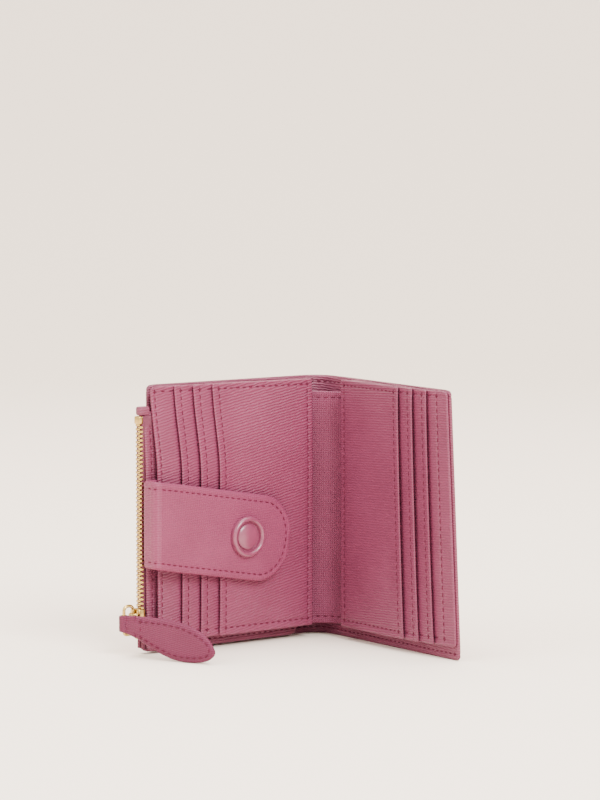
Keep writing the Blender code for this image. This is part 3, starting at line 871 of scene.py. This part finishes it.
zipShape = {
    "pitch": 1.6 * mm, "first": 0.55 * mm,
    "clamp": 0.98 * mm, "nib": 0.56 * mm, "long": 2.15 * mm, "deep": 1.3 * mm, "reach": 0.6 * mm,
    "tapeRound": 0.15 * mm, "band": (0.25 * mm, 1.6 * mm), "bandRise": {1: 1.0 * mm, -1: 1.3 * mm},
    "stopSlim": 0.6 * mm, "stopRound": 0.5 * mm,
    "bandGap": 0.05 * mm, "bandRound": 0.2 * mm,
    # the end tab's reach, and what is added to the ends of its CAD depth and height
    "tabReach": (75.6 * mm, 80.2 * mm), "tabDepth": (0.6 * mm, -0.7 * mm), "tabTall": (-1.4 * mm, -0.3 * mm),
    "tabRound": 0.8 * mm,
}
zipRows = {"front": 1, "back": -1}


def toothShape(way):
    # one metal tooth: thick where it clamps its tape, thinner where it meets the other row
    out, inward = leafAxes("left")
    body = bmesh.new()
    bmesh.ops.create_cube(body, size=1)
    bmesh.ops.subdivide_edges(body, edges=body.edges, cuts=3, use_grid_fill=True)
    for vert in body.verts:
        x, y, z = [2 * c for c in vert.co]
        barrel = math.sqrt(1 - y * y / 3)
        toward = smooth((1 - y * way) / 2)
        tall = zipShape["clamp"] + (zipShape["nib"] - zipShape["clamp"]) * toward
        wide = zipShape["deep"] * (1 - 0.25 * toward)
        vert.co = out * (x * barrel * wide / 2) + inward * (y * zipShape["long"] / 2)
        vert.co.z = z * barrel * tall / 2
    return addObject("tooth", closeMesh(body, "tooth"))


def makeZip():
    pitch = zipShape["pitch"]
    middle = middleOf(leafSpan("zip_top_stop")[1])
    for ending, way in zipRows.items():
        node = "zip_teeth_" + ending
        (u0, _), _, (z0, z1) = leafSpan(node)
        shape = toothShape(way)
        u, w = u0 + zipShape["deep"] / 2, middle + way * zipShape["reach"]
        # the back row sits half a pitch higher, so that the teeth interlock
        first = z0 + zipShape["first"] + (pitch / 2 if way < 0 else 0)
        count = int((z1 - first) / pitch)
        line = straight(leafPoint("left", u, w, first), leafPoint("left", u, w, first + count * pitch), 2)
        # a hair under the pitch, so that the last tooth isn't lost
        mesh = rowMesh("zipTeeth" + ending, [line], shape, pitch * 0.99999, "gold")
        addPiece("zipTeeth_" + ending, mesh, "gold", "left_leaf", (node,))
        bpy.data.objects.remove(shape)
    # woven tapes, each with a band that the teeth are clamped on
    for ending, way in zipRows.items():
        node = "zip_tape_" + ending
        spans = leafSpan(node)
        mesh = roundedBox("zipTape_" + ending, spans, zipShape["tapeRound"], segments=2)
        addPiece("zipTape_" + ending, mesh, "tape", "left_leaf", (node,))
        u = spans[0][1] + zipShape["bandGap"]
        across = sorted(middle + way * w for w in zipShape["band"])
        band = [(u, u + zipShape["bandRise"][way]), across, spans[2]]
        mesh = roundedBox("zipBand_" + ending, band, zipShape["bandRound"], segments=2)
        addPiece("zipBand_" + ending, mesh, "tape", "left_leaf")
    slim = zipShape["stopSlim"]
    for node in ("zip_top_stop", "zip_bottom_stop"):
        span, (w0, w1), tall = leafSpan(node)
        mesh = roundedBox(node + "Metal", [span, (w0 + slim, w1 - slim), tall], zipShape["stopRound"])
        addPiece(node + "Metal", mesh, "gold", "left_leaf", (node,))
    spans = [zipShape["tabReach"]]
    for span, trim in zip(leafSpan("zip_end_tab")[1:], (zipShape["tabDepth"], zipShape["tabTall"])):
        spans.append((span[0] + trim[0], span[1] + trim[1]))
    mesh = roundedBox("zipEndTabLeather", spans, zipShape["tabRound"])
    addPiece("zipEndTabLeather", mesh, "cover", "left_leaf", ("zip_end_tab",))


makeZip()


sliderShape = {
    "plate": 0.9 * mm, "plateRound": 0.9 * mm, "crown": 0.12 * mm, "foot": 0.74,
    "across": (-1, -0.97, -0.88, -0.7, -0.4, 0, 0.4, 0.7, 0.88, 0.97, 1),
    "up": (0, 0.02, 0.07, 0.16, 0.3, 0.45, 0.6, 0.75, 0.86, 0.93, 0.98, 1),
    "railIn": 0.9, "railThick": 0.55 * mm, "railReach": (-2.0 * mm, 0.4 * mm), "railEnd": 0.3 * mm,
    "archInset": 0.4 * mm, "archRoot": 0.2 * mm, "archWide": 1.65 * mm, "archTall": 3.4 * mm,
    "archThick": 0.42 * mm, "archUp": (-1, -0.96, -0.85, -0.6, 0, 0.6, 0.85, 0.96, 1),
}


def makeSlider():
    (u0, u1), depths, (z0, z1) = leafSpan("zip_slider")
    middle, halfWide = middleOf(depths), (depths[1] - depths[0]) / 2
    plate = sliderShape["plate"]
    out, inward = leafAxes("left")

    # outer plate: narrow at the foot, with round shoulders where the two rows part
    def outline(v):
        foot = sliderShape["foot"]
        return halfWide * (foot + (1 - foot) * smooth(v * 1.25)) * (1 - 0.25 * abs(v * 2 - 1) ** 6)

    def centre(x, v):
        return leafPoint("left", u0 + plate / 2, middle + x * outline(v), z0 + v * (z1 - z0))

    def half(x, v, way):
        near = min((1 - abs(x)) * outline(v), v * (z1 - z0), (1 - v) * (z1 - z0))
        crown = sliderShape["crown"] * (1 - x * x) if way > 0 else 0
        return plate / 2 * (0.35 + 0.65 * edgeRound(near, sliderShape["plateRound"])) + crown

    mesh = gridMesh("sliderPlate", sliderShape["across"], sliderShape["up"], centre,
                    lambda x, v: out, half, lambda x, v: (x, v))
    addPiece("sliderPlate", mesh, "gold", "zip_slider", ("zip_slider",))

    # side rails that wrap the rows of teeth
    for n, way in enumerate((-1, 1)):
        edge = middle + way * halfWide * sliderShape["railIn"]
        spans = [[u0 + u for u in sliderShape["railReach"]],
                 sorted((edge, edge - way * sliderShape["railThick"])),
                 (z0 + sliderShape["railEnd"], z1 - sliderShape["railEnd"])]
        mesh = roundedBox(f"sliderRail{n}", spans, 0.2 * mm, segments=2)
        addPiece(f"sliderRail{n}", mesh, "gold", "zip_slider")

    # the arch that holds the ring
    root = u0 + plate - sliderShape["archRoot"]
    reach = u1 - sliderShape["archInset"] - root
    wide, tall = sliderShape["archWide"], sliderShape["archTall"]

    def archCentre(t, v):
        lean = 1 - 0.25 * math.sin(t)
        return leafPoint("left", root + reach * abs(math.sin(t)) ** 0.7, middle - wide * math.cos(t),
                         middleOf((z0, z1)) + v * tall / 2 * lean)

    def archNormal(t, v):
        return (out * math.sin(t) * 0.9 - inward * math.cos(t)).normalized()

    def archHalf(t, v, way):
        return sliderShape["archThick"] * (0.3 + 0.7 * edgeRound((1 - abs(v)) * tall / 2, 0.5 * mm))

    turns = [math.pi * n / 20 for n in range(21)]
    mesh = gridMesh("sliderArch", turns, sliderShape["archUp"], archCentre, archNormal, archHalf,
                    lambda t, v: (t, v), caps=(True, True))
    addPiece("sliderArch", mesh, "gold", "zip_slider")


makeSlider()


def wireMesh(name, points, radius, resolution=5):
    # a closed loop of round wire
    curve = bpy.data.curves.new(name, "CURVE")
    curve.dimensions = "3D"
    curve.bevel_depth = radius
    curve.bevel_resolution = resolution
    spline = curve.splines.new("POLY")
    spline.points.add(len(points) - 1)
    for spot, p in zip(spline.points, points):
        spot.co = (*p, 1)
    spline.use_cyclic_u = True
    mesh = plainMesh(addObject(name, curve))
    mesh.shade_smooth()
    return mesh


# long bars, with the top drawn into a wide bow and the foot into a tighter one
ringShape = {"bow": 1.7 * mm, "tight": 1.2 * mm, "steps": 8}


def makeRing():
    reach, depths, tall = leafSpan("pull_ring")
    wire, w = (depths[1] - depths[0]) / 2, middleOf(depths)
    steps = ringShape["steps"]
    points = []
    for quarter, (side, end) in enumerate(((1, 1), (0, 1), (0, 0), (1, 0))):
        corner = ringShape["bow" if end else "tight"]
        u = reach[side] + (wire + corner) * (1 - 2 * side)
        z = tall[end] + (wire + corner) * (1 - 2 * end)
        for n in range(steps + 1):
            a = math.pi / 2 * (quarter + n / steps)
            points.append(leafPoint("left", u + corner * math.cos(a), w, z + corner * math.sin(a)))
    mesh = wireMesh("pullRingWire", points, wire)
    addPiece("pullRingWire", mesh, "gold", "pull_ring", ("pull_ring",))


makeRing()
print("zip made")


# the pull: "top" and "foot" are its outline, as (distance from the ring's bar, height) in mm
pullShape = {
    "tip": 40 * mm, "thick": 2.4 * mm, "inset": 1.9 * mm, "neck": 1.6 * mm, "groove": 0.14 * mm,
    "bow": 0.54 * mm, "settle": 0.30 * mm,
    "bar": 1.36 * mm, "leather": 0.5 * mm, "tail": 4.4 * mm, "loopWide": 6 * mm,
    "loopUp": (0, 0.03, 0.09, 0.2, 0.35, 0.5, 0.65, 0.8, 0.91, 0.97, 1),
    "rowStart": 8.2 * mm,
    "top": ((0, 15.3), (5, 15.5), (12, 15.6), (20, 15.3), (28, 14.0), (34, 11.6), (38, 8.4), (39.6, 5.6),
            (40, 4.4)),
    "foot": ((0, 9.2), (5, 7.6), (10, 5.2), (16, 2.6), (22, 0.7), (28, 0.05), (33, 0.3), (37, 1.3),
             (39.3, 2.9), (40, 4.2)),
}


def along(table, x):
    # height at x on a smooth line through the table's points
    points = [(a * mm, b * mm) for a, b in table]
    if x <= points[0][0]:
        return points[0][1]
    for n in range(len(points) - 1):
        (x1, y1), (x2, y2) = points[n], points[n + 1]
        if x <= x2:
            x0, y0 = points[max(0, n - 1)]
            x3, y3 = points[min(len(points) - 1, n + 2)]
            m1 = (y2 - y0) / max(x2 - x0, 1e-9)
            m2 = (y3 - y1) / max(x3 - x1, 1e-9)
            h = x2 - x1
            t = (x - x1) / h
            return ((2 * t**3 - 3 * t**2 + 1) * y1 + (t**3 - 2 * t**2 + t) * h * m1
                    + (3 * t**2 - 2 * t**3) * y2 + (t**3 - t**2) * h * m2)
    return points[-1][1]


def pullEdges(x):
    foot = along(pullShape["foot"], x)
    top = along(pullShape["top"], x)
    return (foot, top) if top > foot else (middleOf((foot, top)),) * 2


def pullAxes():
    # the middle of the ring's bar, the way along the pull and the way across it
    bar = Vector(joints["tab_swing"]["pos_m"])
    bar.z = 0
    spots = [v.co for v in frame["nodes"]["pull_tab"].data.vertices]
    far = max(spots, key=lambda p: (p.xy - bar.xy).length)
    ahead = Vector((far.x - bar.x, far.y - bar.y, 0)).normalized()
    across = Vector((ahead.y, -ahead.x, 0))
    if across.dot(leafAxes("left")[0]) < 0:
        across = -across
    return bar, ahead, across


def makePull():
    bar, ahead, across = pullAxes()
    tip, inset, neck = pullShape["tip"], pullShape["inset"], pullShape["neck"]

    def spot(x, v, y=0.0):
        # it bows a little away from the wallet; y is the distance off its middle
        low, high = pullEdges(max(x, 0.0))
        share = min(1, max(x, 0.0) / tip)
        bow = pullShape["bow"] * math.sin(math.pi * share) + pullShape["settle"] * smooth(share)
        return bar + ahead * x + across * (y + bow) + upright * (low + (high - low) * v)

    def half(x, v, way):
        low, high = pullEdges(x)
        near = min(min(v, 1 - v) * (high - low), (tip - x) * 1.5)
        size = pullShape["thick"] / 2 * (0.62 + 0.38 * smooth(near / (3 * mm))) * edgeRound(near, 0.9 * mm)
        return size - groove(near - inset, pullShape["groove"])

    def pattern(x, v):
        low, high = pullEdges(x)
        return x, low + (high - low) * v

    columns = [neck + (tip - neck) * math.sin(math.pi / 2 * n / 46) for n in range(47)]
    rows = [0, 0.015, 0.05, 0.1] + [0.1 + 0.8 * n / 14 for n in range(1, 14)] + [0.9, 0.95, 0.985, 1]
    mesh = gridMesh("pullLeather", columns, rows, spot, lambda x, v: across, half, pattern,
                    caps=(True, False))
    addPiece("pullLeather", mesh, "pull", "pull_tab", ("pull_tab",))

    # the loop round the ring's bar, running out into the pull on both faces
    radius, leather, tail = pullShape["bar"], pullShape["leather"], pullShape["tail"]
    gap = math.asin(leather / radius)
    turn = radius * (2 * math.pi - 2 * gap)
    length = tail * 2 + turn

    def loopSpot(s, v):
        if tail <= s <= tail + turn:
            a = gap + (s - tail) / radius
            return spot(radius * math.cos(a), v, radius * math.sin(a))
        way = 1 if s < tail else -1
        x = tail - s if s < tail else s - tail - turn
        return spot(x + radius * math.cos(gap), v, way * (leather + 0.1 * mm * smooth(x / tail)))

    def loopNormal(s, v):
        step = 0.15 * mm
        run = loopSpot(min(length, s + step), 0.5) - loopSpot(max(0.0, s - step), 0.5)
        return Vector((run.y, -run.x, 0)).normalized()

    def loopHalf(s, v, way):
        return leather * (0.3 + 0.7 * edgeRound(min(v, 1 - v) * pullShape["loopWide"], 0.5 * mm))

    columns = [length * n / 60 for n in range(61)]
    mesh = gridMesh("pullLoop", columns, pullShape["loopUp"], loopSpot, loopNormal, loopHalf,
                    lambda s, v: (s, v * pullShape["loopWide"]), caps=(True, True))
    addPiece("pullLoop", mesh, "pull", "pull_tab")

    # stitches round the pull's edge, with a bar across its neck, on both faces
    start = pullShape["rowStart"]
    rows = []
    for way in (1, -1):
        upper, lower = [], []
        for n in range(90):
            x = start + (tip - inset - start) * math.sin(math.pi / 2 * n / 89)
            low, high = pullEdges(x)
            share = min(inset / (high - low), 0.5)
            lift = (half(x, 0.5, 1) * 0.9 + 0.05 * mm) * way
            upper.append(spot(x, 1 - share, lift))
            lower.append(spot(x, share, lift))
        rows.append(upper + lower[::-1])
        rows.append(straight(upper[0], lower[0], 12))
    sew("pullStitches", rows, "pull_tab")


makePull()
print("pull made")


strapShape = {
    "bendRadius": 1.8 * mm, "inset": 2.6 * mm, "round": 14 * mm, "cut": 1.9 * mm, "settle": 17 * mm,
    "rootStart": 2 * mm, "lift": 0.35 * mm, "liftReach": (20 * mm, 60 * mm),
    "edge": 1.5 * mm, "groove": 0.14 * mm,
    "step": 2.2 * mm, "bendStep": 0.28 * mm, "tipStep": 1.3 * mm, "leastStep": 0.08 * mm,
    "across": (0.82, 0.84, 0.86, 0.875, 0.91, 0.945, 0.975, 0.994, 1),
    "rowGap": 0.8 * mm, "rowSink": 0.1 * mm, "endRise": 0.05 * mm,
    "split": 0.45, "turnBlend": 1.8 * mm, "tongueBlend": 3.2 * mm,
}


class Strap:
    # the strap's path: out from between the layers, round the fore-edge, back over the cards

    def __init__(self):
        self.bend = Vector(joints["strap_bend"]["pos_m"])
        self.tip = Vector(joints["strap_tip"]["pos_m"])
        self.ahead = (self.tip - self.bend).normalized()
        self.up = -Vector(joints["strap_bend"]["axis"])
        self.out, self.inward = leafAxes("left")
        tongue = [v.co - self.bend for v in frame["nodes"]["strap_tongue"].data.vertices]
        self.length = max(p.dot(self.ahead) for p in tongue)
        self.width = 2 * max(abs(p.dot(self.up)) for p in tongue)
        under, over = self.depths("strap_tongue")
        self.thick = over - under
        (u0, _), rootDepths, _ = leafSpan("strap_root")
        self.rootDepth = middleOf(rootDepths)
        self.reach = (self.bend - fold).dot(self.out)
        self.depth = (self.bend - fold).dot(self.inward)
        self.height = self.bend.z
        r = strapShape["bendRadius"]
        self.stretches = [
            ("root", self.reach - r - u0 - strapShape["rootStart"]),
            ("lower", r * math.pi / 2),
            ("upright", self.depth - self.rootDepth - 2 * r),
            ("upper", r * math.pi / 2),
            ("over", self.length - r),
        ]

    def depths(self, node):
        # lowest and highest depth of a CAD node, from the bend
        reach = [(v.co - self.bend).dot(self.inward) for v in frame["nodes"][node].data.vertices]
        return min(reach), max(reach)

    def tilt(self, past):
        # width direction, which leans over gently past the fold
        return upright.lerp(self.up, smooth(past / strapShape["settle"])).normalized()

    def spot(self, s):
        # centre, width direction and face direction at s along the strap
        r = strapShape["bendRadius"]
        inner = self.reach - r
        for name, length in self.stretches:
            if s <= length or name == "over":
                break
            s -= length
        if name == "root":
            return leafPoint("left", inner - (length - s), self.rootDepth, self.height), upright, -self.inward
        if name == "lower":
            a = s / r
            w = self.rootDepth + r - r * math.cos(a)
            place = leafPoint("left", inner + r * math.sin(a), w, self.height)
            return place, upright, self.out * math.sin(a) - self.inward * math.cos(a)
        if name == "upright":
            return leafPoint("left", self.reach, self.rootDepth + r + s, self.height), upright, self.out
        if name == "upper":
            a = s / r
            place = leafPoint("left", inner + r * math.cos(a), self.depth - r + r * math.sin(a), self.height)
            share = smooth(a / (math.pi / 2))
            place += (self.bend + self.ahead * r - leafPoint("left", inner, self.depth, self.height)) * share
            return place, self.tilt(s), self.out * math.cos(a) + self.inward * math.sin(a)
        x = s + r
        near, far = strapShape["liftReach"]
        lift = strapShape["lift"] * smooth((x - near) / (far - near))
        return self.bend + self.ahead * x + self.inward * lift, self.tilt(s + r * math.pi / 2), self.inward

    def start(self, name):
        total = 0
        for stretch, length in self.stretches:
            if stretch == name:
                return total
            total += length

    def over(self, x):
        return self.start("over") + x - strapShape["bendRadius"]

    def tipShare(self, s):
        # 1 along the straight sides, falling to 0 round the end
        into = s - self.over(self.length - strapShape["round"])
        return math.sqrt(max(0.0, 1 - (max(0.0, into) / strapShape["round"]) ** 2))

    def halfWidth(self, s):
        return self.width / 2 * self.tipShare(s)


strap = Strap()


def strapMesh(name, start, end, caps):
    total = strap.over(strap.length)
    columns = []
    s = start
    while s < end - 1e-6:
        columns.append(s)
        step = strapShape["step"]
        if strap.start("lower") - 1 * mm < s < strap.start("over"):
            step = strapShape["bendStep"]
        if s > total - strapShape["round"]:
            step = max(strapShape["leastStep"], strapShape["tipStep"] * strap.tipShare(s))
        s += step
    columns.append(end)
    sides = strapShape["across"]
    rows = [-v for v in sides[::-1]] + [-0.8 + 1.6 * n / 18 for n in range(19)] + list(sides)

    def centre(s, v):
        place, across, _ = strap.spot(s)
        return place + across * strap.halfWidth(s) * v

    def half(s, v, way):
        near = min((1 - abs(v)) * strap.halfWidth(s), total - s + 0.02 * mm)
        size = strap.thick / 2 * edgeRound(near, strapShape["edge"])
        return size - groove(near - strapShape["inset"], strapShape["groove"])

    return gridMesh(name, columns, rows, centre, lambda s, v: strap.spot(s)[2], half,
                    lambda s, v: (s, strap.halfWidth(s) * v), caps)


def strapEdgeRow(way, start, end, steps=60):
    aside = way * (strap.width / 2 - strapShape["inset"])
    points = []
    for n in range(steps + 1):
        place, across, face = strap.spot(start + (end - start) * n / steps)
        points.append(place + across * aside + face * (strap.thick / 2 - strapShape["rowSink"]))
    return points


def tongueRow(start):
    # up one side, round the end and back along the other
    straightEnd = strap.over(strap.length - strapShape["round"])
    place, across, face = strap.spot(straightEnd)
    tall = strap.width / 2 - strapShape["inset"]
    wide = strapShape["round"] - strapShape["inset"]
    row = strapEdgeRow(1, start, straightEnd)
    for n in range(1, 40):
        a = math.pi * n / 40
        row.append(place + strap.ahead * wide * math.sin(a) + across * tall * math.cos(a)
                   + face * (strap.thick / 2 + strapShape["endRise"]))
    return row + strapEdgeRow(-1, start, straightEnd)[::-1]


def makeStrap():
    starts = {name: strap.start(name) for name in ("lower", "upright", "upper")}
    split = starts["upright"] + (starts["upper"] - starts["upright"]) * strapShape["split"]
    cut = strap.over(strapShape["cut"])
    gap, past = strapShape["rowGap"], strapShape["tongueBlend"]
    pieces = {
        "Root": {"span": (0, split), "caps": (False, True), "nodes": ("strap_root", "strap_turn"),
                 "bend": ("left_leaf", "strap_turn", strap.spot(starts["lower"])[0],
                          strap.spot(starts["upright"])[0])},
        "Turn": {"span": (split, cut), "caps": (True, True), "nodes": ("strap_wrap",),
                 "bend": ("strap_turn", "strap_wrap", strap.spot(split)[0],
                          strap.spot(strap.over(strapShape["turnBlend"]))[0])},
        "Tongue": {"span": (cut, strap.over(strap.length)), "caps": (True, False), "nodes": ("strap_tongue",),
                   "bend": ("strap_wrap", "strap_tongue", strap.tip - strap.ahead * past,
                            strap.tip + strap.ahead * past)},
    }
    # the turn's rows are counted back from the tongue's first stitch, so that the two read as one
    turnEnds = (cut + gap - stitch["step"], split + gap)
    rows = {"Turn": [strapEdgeRow(way, *turnEnds) for way in (1, -1)], "Tongue": [tongueRow(cut + gap)]}
    for part, shape in pieces.items():
        name = "strap" + part
        mesh = strapMesh(name + "Leather", *shape["span"], shape["caps"])
        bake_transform(addPiece(name + "Leather", mesh, "strap", None, shape["nodes"]))
        if part in rows:
            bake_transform(sew(name + "Stitches", rows[part]))


makeStrap()


def turnedMesh(name, profile, place, axis, steps=72):
    # a turned solid from (radius, height) points that run from the axis out and back to it
    body = bmesh.new()
    verts = [body.verts.new((r, 0, h)) for r, h in profile]
    edges = [body.edges.new(pair) for pair in zip(verts, verts[1:])]
    bmesh.ops.spin(body, geom=verts + edges, cent=(0, 0, 0), axis=upright, steps=steps, angle=2 * math.pi)
    bmesh.ops.remove_doubles(body, verts=body.verts, dist=1e-6)
    turn = upright.rotation_difference(axis).to_matrix().to_4x4()
    bmesh.ops.transform(body, matrix=Matrix.Translation(place) @ turn, verts=body.verts)
    return closeMesh(body, name, 45)


# turned outlines as (radius in mm, height): a share of the socket's height, or mm
snapShape = {
    "socket": ((2.3, 0), (2.25, 0.7), (2.5, 0.95), (3.0, 1), (3.5, 0.85), (3.8, 0.45), (5.0, 0.4),
               (5.4, 0.25), (5.5, 0), (2.3, 0)),
    "stud": ((0, 1.2), (0.9, 1.2), (1.5, 1.0), (1.7, 0.75), (1.45, 0.45), (1.6, 0.3), (3.4, 0.34),
             (4.3, 0.2), (4.5, 0), (0, 0)),
    "washer": ((0, 0.35), (3.7, 0.35), (4, 0.2), (4, 0.05), (0, 0)),
}
buttonShape = {"lift": 0.15 * mm, "dome": 5.0 * mm, "domeShare": 0.92, "domeFoot": 0.35 * mm,
               "groove": 5.5 * mm, "grooveFoot": 0.3 * mm, "rim": 1.05 * mm, "rimFoot": 0.55 * mm}


def buttonProfile(radius, tall):
    # a low dome, a groove round it and a rolled rim
    foot, rimFoot, rim = buttonShape["domeFoot"], buttonShape["rimFoot"], buttonShape["rim"]
    top = tall * buttonShape["domeShare"]
    profile = [(0, top)]
    for n in range(1, 13):
        a = math.pi / 2 * n / 12
        profile.append((buttonShape["dome"] * math.sin(a), foot + (top - foot) * math.cos(a) ** 0.9))
    profile.append((buttonShape["groove"], buttonShape["grooveFoot"]))
    for n in range(13):
        a = math.pi - math.pi * n / 12
        profile.append((radius - rim + rim * math.cos(a), rimFoot + (tall - rimFoot) * math.sin(a)))
    return profile + [(radius, 0.0), (0, 0.0)]


def makeSnap():
    inward = strap.inward
    low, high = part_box("strap_button")
    middle = (low + high) / 2

    def atDepth(depth):
        # the button's middle, moved to a depth from the strap's bend
        return middle + inward * (depth - (middle - strap.bend).dot(inward))

    foot, top = strap.depths("strap_button")
    spots = frame["nodes"]["strap_button"].data.vertices
    radius = max(abs((v.co - middle).dot(strap.up)) for v in spots)
    mesh = turnedMesh("strapButtonEnamel", buttonProfile(radius, top - foot),
                      atDepth(foot + buttonShape["lift"]), inward)
    addPiece("strapButtonEnamel", mesh, "enamel", "strap_tongue", ("strap_button",))

    # socket under the strap: a flanged ring with a rolled lip
    foot, top = strap.depths("snap_socket")
    profile = [(r * mm, share * (top - foot)) for r, share in snapShape["socket"]]
    mesh = turnedMesh("snapSocketMetal", profile, atDepth(top), -inward)
    addPiece("snapSocketMetal", mesh, "gold", "strap_tongue", ("snap_socket",))

    # stud on the other cover's outside, and its washer inside
    reach, studDepths, tall = leafSpan("snap_stud", "right")
    u, z = middleOf(reach), middleOf(tall)
    axis = -leafAxes("right", z)[1]
    profile = [(r * mm, h * mm) for r, h in snapShape["stud"]]
    mesh = turnedMesh("snapStudMetal", profile, leafPoint("right", u, studDepths[1] + 0.05 * mm, z), axis)
    addPiece("snapStudMetal", mesh, "gold", "right_leaf", ("snap_stud",))
    washerDepths = leafSpan("stud_backing", "right")[1]
    profile = [(r * mm, h * mm) for r, h in snapShape["washer"]]
    mesh = turnedMesh("studBackingMetal", profile, leafPoint("right", u, washerDepths[1], z), axis)
    addPiece("studBackingMetal", mesh, "gold", "right_leaf", ("stud_backing",))


makeSnap()
bpy.data.objects.remove(oneStitch)
print("strap made")
